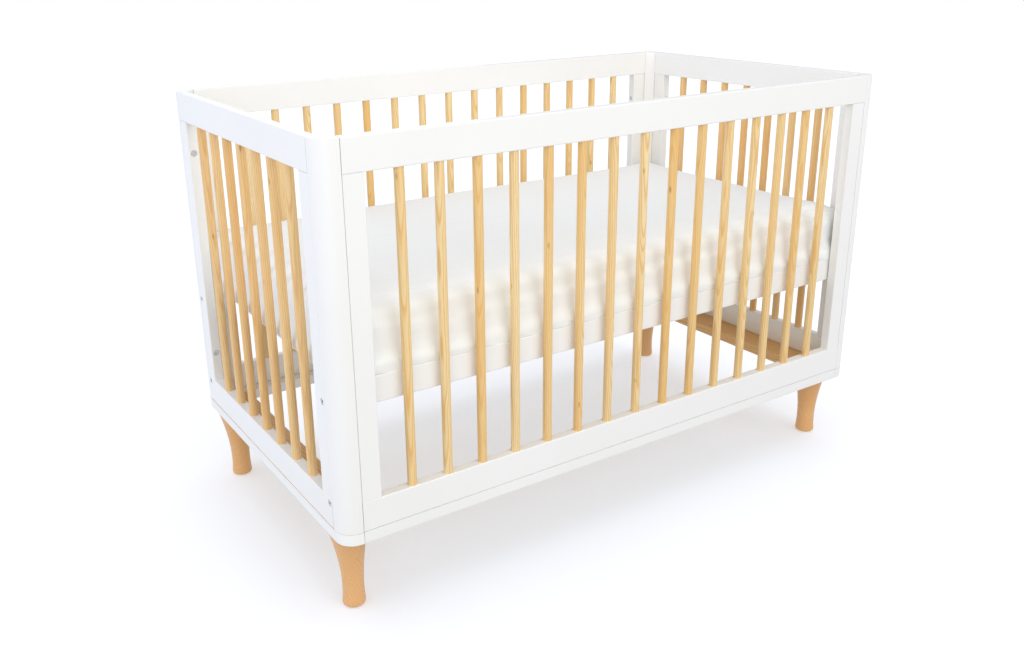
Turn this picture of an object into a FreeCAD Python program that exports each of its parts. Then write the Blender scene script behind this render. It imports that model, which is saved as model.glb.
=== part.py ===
import FreeCAD, Part
import os
import Sketcher

from FreeCAD import Placement, Rotation, Vector

# Full-size baby crib: four spindle panels between four corner posts, a flat base frame on
# turned legs, and a slatted mattress base that can stand at two heights.
# Frame: +X along the length, +Y to the rear, +Z up, origin on the floor below the middle.

doc = FreeCAD.newDocument("Crib")

# ---------------------------------------------------------------- driving dimensions (mm)

SIZES = [
    ("overall_length", 1380, "outside length, over the end panels"),
    ("overall_width", 764, "outside width, over the side panels"),
    ("overall_height", 910, "floor to the top of the rails"),
    ("leg_height", 170, "floor to the underside of the base frame"),
    ("board_thickness", 24, "base boards and base rails"),
    ("board_width", 86, "base board, along the length"),
    ("base_rail_width", 50, "front and rear base rails, across the width"),
    ("post_face", 41, "corner post, each way"),
    ("corner_radius", 36, "outside corner of the posts and base boards"),
    ("panel_thickness", 22, "rails and stiles"),
    ("stile_width", 39, "stiles of every panel"),
    ("top_rail_height", 60, "top rails"),
    ("bottom_rail_height", 60, "bottom rails"),
    ("edge_round", 2, "eased edges of the painted parts"),
    ("seam_gap", 0.8, "shadow gap between a post and a panel"),
    ("groove_gap", 0.4, "shadow gap between a panel and the base frame"),
    ("long_spindle_count", 15, "spindles in the front and rear panels"),
    ("short_spindle_count", 7, "spindles in the end panels"),
    ("spindle_diameter", 18, "round spindles"),
    ("socket_depth", 14, "spindle socket in a rail"),
    ("fit_clearance", 0.1, "radial clearance of glued, pressed and bolted fits"),
    ("dowel_diameter", 8, "wooden dowels"),
    ("dowel_depth", 18, "dowel in each piece"),
    ("dowel_inset", 7, "dowel from the inner edge of a stile"),
    ("dowel_pitch", 11, "between the two dowels of a joint"),
    ("bolt_diameter", 6, "socket-head bolts"),
    ("bolt_head_diameter", 12, "socket-head bolts"),
    ("bolt_head_height", 5, "socket-head bolts"),
    ("hex_socket_radius", 2.9, "socket, across corners over two"),
    ("hex_socket_depth", 3, "socket"),
    ("head_recess", 0.8, "bolt head below the surface"),
    ("head_clearance", 0.7, "radial clearance round a bolt head"),
    ("insert_diameter", 10, "threaded inserts"),
    ("insert_length", 16, "threaded inserts"),
    ("panel_bolt_offset", 67, "panel bolt from the end of its stile"),
    ("post_bolt_inset", 18, "post bolt from both outer faces"),
    ("bed_gap", 3, "mattress base to the panels"),
    ("bed_rail_thickness", 20, "mattress base rails"),
    ("bed_rail_height", 52, "mattress base rails"),
    ("bed_lower_clearance", 32.5, "base frame to the mattress base when it is lowered"),
    ("bed_drop", 202, "between the two heights of the mattress base"),
    ("bed_bolt_inset", 10, "mattress base bolt inside the edge of the corner post"),
    ("bed_bolt_rise", 17.5, "mattress base bolt above the bottom of its rail"),
    ("bed_bolt_clearance", 0.4, "bolt end to the insert that it threads into"),
    ("bed_corner_gap", 3, "bevelled corners of the mattress base to the corner posts"),
    ("bed_corner_land", 2, "least wood left beyond a bevelled corner, across the rail"),
    ("bed_end_block", 70, "full-height ends of an end rail, from the side rails' outer face"),
    ("bed_end_bar", 12, "end rail between its full-height ends, down from its top"),
    ("bed_end_inset", 10, "end rail between its full-height ends, in from its outer face"),
    ("bed_end_curve", 12, "rounded corners where an end rail gets shallower"),
    ("bed_dowel_depth", 6, "mattress base dowel in an end rail"),
    ("bed_dowel_rise", 15, "lower mattress base dowel above the bottom of its rail"),
    ("bed_dowel_pitch", 24, "between the two mattress base dowels of a joint"),
    ("ledger_size", 20, "square ledgers under the slats"),
    ("slat_count", 12, "slats"),
    ("slat_width", 60, "slats"),
    ("slat_thickness", 12, "slats"),
    ("slat_clearance", 1, "slat ends and ledger ends to the rails"),
    ("mattress_end_gap", 13, "mattress to the end panels"),
    ("mattress_side_gap", 12.5, "mattress to the side panels"),
    ("mattress_thickness", 124, "mattress"),
    ("mattress_lift", 0.3, "mattress above the rails it rests on"),
    ("mattress_corner", 26, "corner radius of the mattress, seen from above"),
    ("mattress_edge", 20, "rounded upper and lower edges of the mattress"),
    ("leg_end_inset", 44.5, "leg centre from the end"),
    ("leg_side_inset", 73, "leg centre from the side"),
    ("leg_lean", 4, "top of the leg towards the end"),
    ("leg_top_diameter", 76, "leg at the top"),
    ("leg_neck_diameter", 62, "leg a little below the top"),
    ("leg_waist_diameter", 43, "thinnest part of the leg"),
    ("leg_foot_diameter", 45, "leg at the foot"),
    ("leg_neck_drop", 34, "neck below the top of the leg"),
    ("leg_waist_rise", 62, "thinnest part above the floor"),
    ("foot_height", 9, "straight foot of the leg"),
    ("foot_round", 5, "rounded lower edge of the foot"),
    ("glide_diameter", 24, "foot glides"),
    ("glide_height", 4, "foot glides"),
    ("glide_stand", 1.5, "part of a glide that stands below the leg"),
    ("leg_bolt_diameter", 8, "hanger bolts"),
    ("leg_bolt_depth", 45, "hanger bolt in the leg"),
    ("leg_insert_diameter", 12, "inserts for the hanger bolts"),
    ("leg_insert_length", 18, "inserts for the hanger bolts"),
    ("board_dowel_depth", 15, "base rail dowel in the board"),
    ("board_dowel_inset", 15, "first base rail dowel from the side"),
    ("board_dowel_pitch", 22, "between the base rail dowels"),
    ("screw_diameter", 4.4, "wood screws"),
    ("screw_head_diameter", 8, "wood screws"),
    ("screw_head_height", 3, "wood screws"),
    ("screw_bite", 28, "base frame screw in the bottom rail"),
    ("long_screw_count", 4, "screws in a base rail"),
    ("long_screw_pitch", 300, "between the screws of a base rail"),
    ("short_screw_count", 3, "screws in a base board"),
    ("short_screw_pitch", 200, "between the screws of a base board"),
    ("slat_screw_diameter", 3.4, "slat screws"),
    ("slat_screw_head", 6.4, "slat screws"),
    ("slat_screw_length", 26, "slat screws"),
    ("slat_screw_head_height", 2.4, "slat screws"),
]

# Sizes that follow from the driving ones.
LAYOUT = [
    ("half_length", "Sizes.overall_length / 2"),
    ("half_width", "Sizes.overall_width / 2"),
    ("plinth_top", "Sizes.leg_height + Sizes.board_thickness"),
    ("post_bottom", "plinth_top + Sizes.groove_gap"),
    ("post_height", "Sizes.overall_height - post_bottom"),
    ("opening_bottom", "post_bottom + Sizes.bottom_rail_height"),
    ("opening_top", "Sizes.overall_height - Sizes.top_rail_height"),
    ("opening_height", "opening_top - opening_bottom"),
    ("panel_middle", "Sizes.panel_thickness / 2"),
    ("lower_bolt_z", "opening_bottom + Sizes.panel_bolt_offset"),
    ("upper_bolt_z", "opening_top - Sizes.panel_bolt_offset"),
    ("post_dowel_z", "(lower_bolt_z + upper_bolt_z) / 2"),
    ("long_half", "half_length - Sizes.post_face - Sizes.seam_gap"),
    ("short_half", "half_width - Sizes.post_face - Sizes.seam_gap"),
    ("long_opening", "2 * (long_half - Sizes.stile_width)"),
    ("short_opening", "2 * (short_half - Sizes.stile_width)"),
    ("long_gap", "(long_opening - Sizes.long_spindle_count * Sizes.spindle_diameter)"
                 " / (Sizes.long_spindle_count + 1)"),
    ("short_gap", "(short_opening - Sizes.short_spindle_count * Sizes.spindle_diameter)"
                  " / (Sizes.short_spindle_count + 1)"),
    ("long_pitch", "long_gap + Sizes.spindle_diameter"),
    ("short_pitch", "short_gap + Sizes.spindle_diameter"),
    ("bed_bottom", "plinth_top + Sizes.bed_lower_clearance + Sizes.bed_drop"),
    ("bed_top", "bed_bottom + Sizes.bed_rail_height"),
    ("bed_half_length", "half_length - Sizes.panel_thickness - Sizes.bed_gap"),
    ("bed_half_width", "half_width - Sizes.panel_thickness - Sizes.bed_gap"),
    ("bed_corner_cut", "Sizes.post_face - Sizes.panel_thickness - 2 * Sizes.bed_gap"
                       " + Sizes.bed_corner_gap * sqrt(2)"),
    ("bed_rail_depth", "max(Sizes.bed_rail_thickness; bed_corner_cut + Sizes.bed_corner_land)"),
    ("bed_inner_half_length", "bed_half_length - bed_rail_depth"),
    ("bed_inner_half_width", "bed_half_width - bed_rail_depth"),
    ("bed_bolt_z", "bed_bottom + Sizes.bed_bolt_rise"),
    ("bed_bolt_y", "half_width - Sizes.post_face - Sizes.bed_bolt_inset"),
    ("bed_dowel_y", "bed_half_width - bed_rail_depth / 2"),
    ("slat_bottom", "bed_top - Sizes.slat_thickness"),
    ("slat_gap", "(2 * bed_inner_half_length - Sizes.slat_count * Sizes.slat_width)"
                 " / (Sizes.slat_count + 1)"),
    ("slat_pitch", "slat_gap + Sizes.slat_width"),
    ("slat_screw_y", "bed_inner_half_width - Sizes.ledger_size / 2"),
    ("leg_x", "half_length - Sizes.leg_end_inset"),
    ("leg_y", "half_width - Sizes.leg_side_inset"),
    ("insert_bore", "Sizes.bolt_diameter + 2 * Sizes.fit_clearance"),
]


def add_sheet(name, rows):
    """Add a spreadsheet whose column B holds the values and carries the aliases."""
    sheet = doc.addObject("Spreadsheet::Sheet", name)
    for number, row in enumerate(rows, start=1):
        sheet.set("A%d" % number, row[0])
        sheet.set("B%d" % number, row[1])
        sheet.setAlias("B%d" % number, row[0])
        if len(row) > 2:
            sheet.set("C%d" % number, row[2])
    doc.recompute()
    return sheet


sizes = add_sheet("Sizes", [(name, str(value), note) for name, value, note in SIZES])
layout = add_sheet("Layout", [(name, "=" + formula) for name, formula in LAYOUT])


def value(name):
    """Return a size from either sheet."""
    driving = [row[0] for row in SIZES]
    return float((sizes if name in driving else layout).get(name))


# ---------------------------------------------------------------- building blocks

TURNS = {
    "+X": Rotation(Vector(0, 1, 0), 90),
    "-X": Rotation(Vector(0, 1, 0), -90),
    "+Y": Rotation(Vector(1, 0, 0), -90),
    "-Y": Rotation(Vector(1, 0, 0), 90),
    "+Z": Rotation(),
    "-Z": Rotation(Vector(1, 0, 0), 180),
}

# Distances within which an edge counts as lying on a corner, or in a plane.
AT_CORNER = 1
IN_PLANE = 1e-3

parts = []


def signed(sign, expression):
    """Return an expression with its sign."""
    return ("-" if sign < 0 else "") + expression


def place(item, at, turn=None):
    """Turn an object, and bind its position to three expressions."""
    item.Placement = Placement(Vector(), turn or Rotation())
    for axis, expression in zip("xyz", at):
        item.setExpression("Placement.Base." + axis, expression)


def new_body(label, at=("0", "0", "0"), turn=None):
    """Start a sub-part as a PartDesign body."""
    body = doc.addObject("PartDesign::Body", label)
    body.Label = label
    place(body, at, turn)
    parts.append(body)
    return body


def add_box(body, size, at, kind="Additive"):
    """Add a box to a body, or take one away, from expressions for its size and corner."""
    box = body.newObject("PartDesign::%sBox" % kind, "Box")
    for name, expression in zip(("Length", "Width", "Height"), size):
        box.setExpression(name, expression)
    place(box, at)
    return box


def add_cylinder(body, radius, height, at, direction="+Z", kind="Additive"):
    """Add a cylinder to a body, or drill one out, from its start along a direction."""
    cylinder = body.newObject("PartDesign::%sCylinder" % kind, "Cylinder")
    cylinder.setExpression("Radius", radius)
    cylinder.setExpression("Height", height)
    place(cylinder, at, TURNS[direction])
    return cylinder


def drill(body, radius, height, at, direction="+Z"):
    """Drill a hole from a point along a direction."""
    return add_cylinder(body, radius, height, at, direction, "Subtractive")


def straight_edges(shape, axis, keep=None):
    """Return the names of the straight edges that run along an axis, and pass a test."""
    names = []
    for number, edge in enumerate(shape.Edges, start=1):
        if not isinstance(edge.Curve, (Part.Line, Part.LineSegment)):
            continue
        along = edge.tangentAt(edge.FirstParameter)
        if abs(along.dot(axis)) < 1 - IN_PLANE:
            continue
        if keep is None or keep(edge.CenterOfMass):
            names.append("Edge%d" % number)
    return names


def dress(body, kind, edges, size_name, expression):
    """Fillet or chamfer edges of the body's latest feature."""
    base = body.Tip
    feature = body.newObject("PartDesign::" + kind, kind)
    feature.Base = (base, edges)
    feature.setExpression(size_name, expression)
    doc.recompute()
    return feature


def ease_long_edges(body, axis):
    """Round the long edges of a plain bar."""
    doc.recompute()
    edges = straight_edges(body.Tip.Shape, axis)
    dress(body, "Fillet", edges, "Radius", "Sizes.edge_round")


def repeat(body, features, count, pitch, axis_role="X_Axis"):
    """Repeat features in a row along one of the body's axes."""
    axis = next(item for item in body.Origin.OriginFeatures if item.Role == axis_role)
    row = body.newObject("PartDesign::LinearPattern", "Row")
    row.Originals = features
    row.Direction = (axis, [""])
    row.setExpression("Length", "(%s - 1) * %s" % (count, pitch))
    row.setExpression("Occurrences", count)
    body.Tip = row
    return row


def group(label, shapes):
    """Keep identical fasteners together as separate solids in one sub-part."""
    item = doc.addObject("Part::Feature", label)
    item.Label = label
    item.Shape = Part.makeCompound(shapes)
    parts.append(item)
    return item


def copy_to(shape, at, direction="+Z"):
    """Return a copy of a fastener, moved to a point and turned along a direction."""
    copy = shape.copy()
    copy.Placement = Placement(Vector(*at), TURNS[direction])
    return copy


# ---------------------------------------------------------------- fasteners, drawn along +Z


def bolt_master(label, length):
    """Draw a socket-head bolt: the head starts at the origin and the shank runs along +Z."""
    head = doc.addObject("Part::Cylinder", label + "_head")
    head.setExpression("Radius", "Sizes.bolt_head_diameter / 2")
    head.setExpression("Height", "Sizes.bolt_head_height")
    shank = doc.addObject("Part::Cylinder", label + "_shank")
    shank.setExpression("Radius", "Sizes.bolt_diameter / 2")
    shank.setExpression("Height", length)
    solid = doc.addObject("Part::Fuse", label + "_solid")
    solid.Base = head
    solid.Tool = shank
    socket = doc.addObject("Part::Prism", label + "_socket")
    socket.Polygon = 6
    socket.setExpression("Circumradius", "Sizes.hex_socket_radius")
    socket.setExpression("Height", "Sizes.hex_socket_depth")
    master = doc.addObject("Part::Cut", label + "_master")
    master.Base = solid
    master.Tool = socket
    doc.recompute()
    return master.Shape


def screw_master(label, length, diameter, head, head_height):
    """Draw a countersunk screw: the head starts at the origin and the shank runs along +Z."""
    cone = doc.addObject("Part::Cone", label + "_head")
    cone.setExpression("Radius1", head + " / 2")
    cone.setExpression("Radius2", diameter + " / 2")
    cone.setExpression("Height", head_height)
    shank = doc.addObject("Part::Cylinder", label + "_shank")
    shank.setExpression("Radius", diameter + " / 2")
    shank.setExpression("Height", length)
    master = doc.addObject("Part::Fuse", label + "_master")
    master.Base = cone
    master.Tool = shank
    doc.recompute()
    return master.Shape


def sleeve_master(label, outside, bore, length):
    """Draw a threaded insert as a plain sleeve along +Z."""
    outer = doc.addObject("Part::Cylinder", label + "_outer")
    outer.setExpression("Radius", outside + " / 2")
    outer.setExpression("Height", length)
    inner = doc.addObject("Part::Cylinder", label + "_bore")
    inner.setExpression("Radius", bore + " / 2")
    inner.setExpression("Height", length)
    master = doc.addObject("Part::Cut", label + "_master")
    master.Base = outer
    master.Tool = inner
    doc.recompute()
    return master.Shape


def rod_master(label, diameter, length):
    """Draw a plain rod along +Z."""
    rod = doc.addObject("Part::Cylinder", label + "_master")
    rod.setExpression("Radius", diameter + " / 2")
    rod.setExpression("Height", length)
    doc.recompute()
    return rod.Shape


# Radii and depths of the holes that the fasteners run in.
BOLT_HOLE = "Sizes.bolt_diameter / 2 + Sizes.fit_clearance"
HEAD_HOLE = "Sizes.bolt_head_diameter / 2 + Sizes.head_clearance"
HEAD_DEPTH = "(Sizes.bolt_head_height + Sizes.head_recess)"
INSERT_HOLE = "Sizes.insert_diameter / 2 + Sizes.fit_clearance"
DOWEL_HOLE = "Sizes.dowel_diameter / 2 + Sizes.fit_clearance"
DOWEL_HOLE_DEPTH = "Sizes.dowel_depth + Sizes.fit_clearance"
SPINDLE_HOLE = "Sizes.spindle_diameter / 2 + Sizes.fit_clearance"
SPINDLE_HOLE_DEPTH = "Sizes.socket_depth + Sizes.fit_clearance"
SCREW_HOLE = "Sizes.screw_diameter / 2 + Sizes.fit_clearance"
SCREW_HEAD_HOLE = "Sizes.screw_head_diameter / 2 + Sizes.fit_clearance"
MIDDLE = "Layout.panel_middle"
BOLT_HEIGHTS = ("Layout.lower_bolt_z", "Layout.upper_bolt_z")
POST_DOWEL_HEIGHTS = ("Layout.lower_bolt_z", "Layout.post_dowel_z", "Layout.upper_bolt_z")

# ---------------------------------------------------------------- spindle panels

# Each panel is drawn along X with its outer face at Y = 0, then turned to its side.
# The front panel is glued to its posts on dowels, and the others are bolted to theirs.
PANELS = {
    "front_panel": {"angle": 0, "base": ("0", "-Layout.half_width", "0"), "fixing": "dowels",
                    "run": "long", "stiles": {-1: "left_stile", 1: "right_stile"}},
    "right_panel": {"angle": 90, "base": ("Layout.half_length", "0", "0"), "fixing": "bolts",
                    "run": "short", "stiles": {-1: "front_stile", 1: "rear_stile"}},
    "rear_panel": {"angle": 180, "base": ("0", "Layout.half_width", "0"), "fixing": "bolts",
                   "run": "long", "stiles": {-1: "right_stile", 1: "left_stile"}},
    "left_panel": {"angle": 270, "base": ("-Layout.half_length", "0", "0"), "fixing": "bolts",
                   "run": "short", "stiles": {-1: "rear_stile", 1: "front_stile"}},
}


def panel_point(panel, along, inward, height):
    """Return a point of a panel, given in the panel's own directions, in the crib's frame."""
    turn = Rotation(Vector(0, 0, 1), PANELS[panel]["angle"])
    reach = value("half_width" if PANELS[panel]["run"] == "long" else "half_length")
    point = turn.multVec(Vector(along, inward - reach, height))
    return (point.x, point.y, point.z)


def panel_direction(panel, sign):
    """Return the name of the direction that a panel's own X, times a sign, points in."""
    names = {0: {1: "+X", -1: "-X"}, 90: {1: "+Y", -1: "-Y"},
             180: {1: "-X", -1: "+X"}, 270: {1: "-Y", -1: "+Y"}}
    return names[PANELS[panel]["angle"]][sign]


def dowel_stations(run):
    """Return expressions for the dowel positions along one end of a panel."""
    inner = "(Layout.%s_half - Sizes.stile_width + Sizes.dowel_inset)" % run
    return [inner, "(%s + Sizes.dowel_pitch)" % inner]


def rail(panel, name, bottom, height, joint_face, joint_direction):
    """Build a top or bottom rail, with its spindle sockets and dowel holes."""
    run = PANELS[panel]["run"]
    body = new_body(panel + "_" + name, PANELS[panel]["base"],
                    Rotation(Vector(0, 0, 1), PANELS[panel]["angle"]))
    half = "Layout.%s_half" % run
    add_box(body, ("2 * " + half, "Sizes.panel_thickness", height), ("-" + half, "0", bottom))
    ease_long_edges(body, Vector(1, 0, 0))
    count = "Sizes.%s_spindle_count" % run
    pitch = "Layout.%s_pitch" % run
    first = "-(%s - 1) / 2 * %s" % (count, pitch)
    socket = drill(body, SPINDLE_HOLE, SPINDLE_HOLE_DEPTH, (first, MIDDLE, joint_face),
                   joint_direction)
    repeat(body, [socket], count, pitch)
    for sign in "-+":
        for station in dowel_stations(run):
            drill(body, DOWEL_HOLE, DOWEL_HOLE_DEPTH, (sign + station, MIDDLE, joint_face),
                  joint_direction)
    return body


def stile(panel, sign, name):
    """Build a stile, drilled for its dowels and for the bolts that hold it to its post."""
    run = PANELS[panel]["run"]
    body = new_body(panel + "_" + name, PANELS[panel]["base"],
                    Rotation(Vector(0, 0, 1), PANELS[panel]["angle"]))
    half = "Layout.%s_half" % run
    left = "-" + half if sign < 0 else half + " - Sizes.stile_width"
    add_box(body, ("Sizes.stile_width", "Sizes.panel_thickness", "Layout.opening_height"),
            (left, "0", "Layout.opening_bottom"))
    ease_long_edges(body, Vector(0, 0, 1))
    for station in dowel_stations(run):
        along = signed(sign, station)
        drill(body, DOWEL_HOLE, DOWEL_HOLE_DEPTH, (along, MIDDLE, "Layout.opening_bottom"))
        drill(body, DOWEL_HOLE, DOWEL_HOLE_DEPTH, (along, MIDDLE, "Layout.opening_top"), "-Z")
    outward, inward = ("-X", "+X") if sign < 0 else ("+X", "-X")
    if PANELS[panel]["fixing"] == "dowels":
        for height in POST_DOWEL_HEIGHTS:
            drill(body, DOWEL_HOLE, DOWEL_HOLE_DEPTH, (signed(sign, half), MIDDLE, height), inward)
        return body
    inner = signed(sign, "(%s - Sizes.stile_width)" % half)
    for height in BOLT_HEIGHTS:
        drill(body, BOLT_HOLE, "Sizes.stile_width", (inner, MIDDLE, height), outward)
        drill(body, HEAD_HOLE, HEAD_DEPTH, (inner, MIDDLE, height), outward)
    return body


def drill_bed_bolt(body, sign, height):
    """Drill an end panel for a mattress base bolt, with a recess for its head."""
    along = signed(sign, "Layout.bed_bolt_y")
    drill(body, BOLT_HOLE, "Sizes.panel_thickness", (along, "0", height), "+Y")
    drill(body, HEAD_HOLE, HEAD_DEPTH, (along, "0", height), "+Y")


def spindles(panel):
    """Build the row of round spindles of a panel."""
    run = PANELS[panel]["run"]
    body = new_body(panel.replace("_panel", "_spindles"), PANELS[panel]["base"],
                    Rotation(Vector(0, 0, 1), PANELS[panel]["angle"]))
    body.AllowCompound = True
    count = "Sizes.%s_spindle_count" % run
    pitch = "Layout.%s_pitch" % run
    first = add_cylinder(body, "Sizes.spindle_diameter / 2",
                         "Layout.opening_height + 2 * Sizes.socket_depth",
                         ("-(%s - 1) / 2 * %s" % (count, pitch), MIDDLE,
                          "Layout.opening_bottom - Sizes.socket_depth"))
    repeat(body, [first], count, pitch)
    return body


for panel_name, panel_data in PANELS.items():
    rail(panel_name, "top_rail", "Layout.opening_top", "Sizes.top_rail_height",
         "Layout.opening_top", "+Z")
    lower = rail(panel_name, "bottom_rail", "Layout.post_bottom", "Sizes.bottom_rail_height",
                 "Layout.opening_bottom", "-Z")
    for side, stile_name in panel_data["stiles"].items():
        upright = stile(panel_name, side, stile_name)
        if panel_data["run"] == "short":
            drill_bed_bolt(upright, side, "Layout.bed_bolt_z")
            drill_bed_bolt(lower, side, "Layout.bed_bolt_z - Sizes.bed_drop")
    screw_count = "Sizes.%s_screw_count" % panel_data["run"]
    screw_pitch = "Sizes.%s_screw_pitch" % panel_data["run"]
    pilot = drill(lower, SCREW_HOLE, "Sizes.screw_bite + Sizes.fit_clearance",
                  ("-(%s - 1) / 2 * %s" % (screw_count, screw_pitch), MIDDLE, "Layout.post_bottom"))
    repeat(lower, [pilot], screw_count, screw_pitch)
    spindles(panel_name)

# ---------------------------------------------------------------- corner posts

CORNERS = {
    "front_left": {"angle": 0, "x": -1, "y": -1, "panels": ("front_panel", "left_panel")},
    "front_right": {"angle": 90, "x": 1, "y": -1, "panels": ("right_panel", "front_panel")},
    "rear_right": {"angle": 180, "x": 1, "y": 1, "panels": ("rear_panel", "right_panel")},
    "rear_left": {"angle": 270, "x": -1, "y": 1, "panels": ("left_panel", "rear_panel")},
}


def corner_post(corner):
    """Build a post: a square bar with a rounded outer corner and a bevelled inner one."""
    data = CORNERS[corner]
    base = (signed(data["x"], "Layout.half_length"), signed(data["y"], "Layout.half_width"), "0")
    body = new_body(corner + "_post", base, Rotation(Vector(0, 0, 1), data["angle"]))
    add_box(body, ("Sizes.post_face", "Sizes.post_face", "Layout.post_height"),
            ("0", "0", "Layout.post_bottom"))
    doc.recompute()
    face = value("post_face")
    vertical = Vector(0, 0, 1)
    outer = straight_edges(body.Tip.Shape, vertical, lambda p: max(p.x, p.y) < AT_CORNER)
    dress(body, "Fillet", outer, "Radius", "Sizes.corner_radius")
    inner = straight_edges(body.Tip.Shape, vertical, lambda p: min(p.x, p.y) > face - AT_CORNER)
    dress(body, "Chamfer", inner, "Size", "Sizes.post_face - Sizes.panel_thickness")
    top = value("overall_height")
    rim = ["Edge%d" % number for number, edge in enumerate(body.Tip.Shape.Edges, start=1)
           if edge.BoundBox.ZMin > top - IN_PLANE]
    seams = straight_edges(body.Tip.Shape, vertical,
                           lambda p: max(p.x, p.y) > face - AT_CORNER and min(p.x, p.y) < AT_CORNER)
    dress(body, "Fillet", rim + seams, "Radius", "Sizes.edge_round / 2")
    faces = ((("Sizes.post_face", MIDDLE), "-X"), ((MIDDLE, "Sizes.post_face"), "-Y"))
    for panel, (spot, inward) in zip(data["panels"], faces):
        if PANELS[panel]["fixing"] == "dowels":
            for height in POST_DOWEL_HEIGHTS:
                drill(body, DOWEL_HOLE, DOWEL_HOLE_DEPTH, spot + (height,), inward)
        else:
            for height in BOLT_HEIGHTS:
                drill(body, INSERT_HOLE, "Sizes.insert_length + Sizes.fit_clearance",
                      spot + (height,), inward)
    drill(body, INSERT_HOLE, "Sizes.insert_length + Sizes.fit_clearance",
          ("Sizes.post_bolt_inset", "Sizes.post_bolt_inset", "Layout.post_bottom"))
    return body


for corner_name in CORNERS:
    corner_post(corner_name)

# ---------------------------------------------------------------- base frame


def base_board(label, side):
    """Build an end board: rounded outer corners, and notches that the base rails run into."""
    turn = Rotation(Vector(0, 0, 1), 0 if side < 0 else 180)
    body = new_body(label, (signed(side, "Layout.half_length"), "0", "0"), turn)
    add_box(body, ("Sizes.board_width", "Sizes.overall_width", "Sizes.board_thickness"),
            ("0", "-Layout.half_width", "Sizes.leg_height"))
    doc.recompute()
    outer = straight_edges(body.Tip.Shape, Vector(0, 0, 1), lambda p: p.x < AT_CORNER)
    dress(body, "Fillet", outer, "Radius", "Sizes.corner_radius")
    notch = ("Sizes.board_width - Sizes.post_face", "Sizes.base_rail_width", "Sizes.board_thickness")
    for start in ("-Layout.half_width", "Layout.half_width - Sizes.base_rail_width"):
        add_box(body, notch, ("Sizes.post_face", start, "Sizes.leg_height"), "Subtractive")
    doc.recompute()
    lower = value("leg_height")
    outline = ["Edge%d" % number for number, edge in enumerate(body.Tip.Shape.Edges, start=1)
               if edge.BoundBox.ZMax < lower + IN_PLANE
               and edge.CenterOfMass.x < value("post_face") - AT_CORNER]
    dress(body, "Fillet", outline, "Radius", "Sizes.edge_round")
    for sign in (-1, 1):
        across = signed(sign, "(Layout.half_width - Sizes.post_bolt_inset)")
        drill(body, BOLT_HOLE, "Sizes.board_thickness",
              ("Sizes.post_bolt_inset", across, "Sizes.leg_height"))
        drill(body, HEAD_HOLE, HEAD_DEPTH, ("Sizes.post_bolt_inset", across, "Sizes.leg_height"))
        drill(body, "Sizes.leg_insert_diameter / 2 + Sizes.fit_clearance",
              "Sizes.leg_insert_length + Sizes.fit_clearance",
              ("Sizes.leg_end_inset", signed(sign, "Layout.leg_y"), "Sizes.leg_height"))
        for extra in ("0", "Sizes.board_dowel_pitch"):
            inset = "(Layout.half_width - Sizes.board_dowel_inset - %s)" % extra
            drill(body, DOWEL_HOLE, "Sizes.board_dowel_depth + Sizes.fit_clearance",
                  ("Sizes.post_face", signed(sign, inset),
                   "Sizes.leg_height + Sizes.board_thickness / 2"), "-X")
    first = "-(Sizes.short_screw_count - 1) / 2 * Sizes.short_screw_pitch"
    shaft = drill(body, SCREW_HOLE, "Sizes.board_thickness", (MIDDLE, first, "Sizes.leg_height"))
    seat = drill(body, SCREW_HEAD_HOLE, "Sizes.screw_head_height", (MIDDLE, first, "Sizes.leg_height"))
    repeat(body, [shaft, seat], "Sizes.short_screw_count", "Sizes.short_screw_pitch", "Y_Axis")
    return body


def base_rail(label, side):
    """Build the front or rear rail of the base frame."""
    body = new_body(label, ("0", signed(side, "Layout.half_width"), "0"),
                    Rotation(Vector(0, 0, 1), 0 if side < 0 else 180))
    half = "Layout.long_half"
    add_box(body, ("2 * " + half, "Sizes.base_rail_width", "Sizes.board_thickness"),
            ("-" + half, "0", "Sizes.leg_height"))
    doc.recompute()
    lower = value("leg_height")
    outline = straight_edges(body.Tip.Shape, Vector(1, 0, 0), lambda p: p.z < lower + AT_CORNER)
    dress(body, "Fillet", outline, "Radius", "Sizes.edge_round")
    for sign in "-+":
        outward = "-X" if sign == "+" else "+X"
        for extra in ("0", "Sizes.board_dowel_pitch"):
            drill(body, DOWEL_HOLE, DOWEL_HOLE_DEPTH,
                  (sign + "Layout.long_half", "Sizes.board_dowel_inset + " + extra,
                   "Sizes.leg_height + Sizes.board_thickness / 2"), outward)
    first = "-(Sizes.long_screw_count - 1) / 2 * Sizes.long_screw_pitch"
    shaft = drill(body, SCREW_HOLE, "Sizes.board_thickness", (first, MIDDLE, "Sizes.leg_height"))
    seat = drill(body, SCREW_HEAD_HOLE, "Sizes.screw_head_height", (first, MIDDLE, "Sizes.leg_height"))
    repeat(body, [shaft, seat], "Sizes.long_screw_count", "Sizes.long_screw_pitch")


base_board("left_base_board", -1)
base_board("right_base_board", 1)
base_rail("front_base_rail", -1)
base_rail("rear_base_rail", 1)

# ---------------------------------------------------------------- legs and glides

# Sections of a leg above its foot: height, diameter and share of the lean.
LEG_SECTIONS = [
    ("Sizes.glide_stand + Sizes.foot_height", "Sizes.leg_foot_diameter", "0"),
    ("Sizes.leg_waist_rise", "Sizes.leg_waist_diameter", "0"),
    ("Sizes.leg_height - Sizes.leg_neck_drop", "Sizes.leg_neck_diameter", "0.5"),
    ("Sizes.leg_height", "Sizes.leg_top_diameter", "1"),
]


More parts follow.
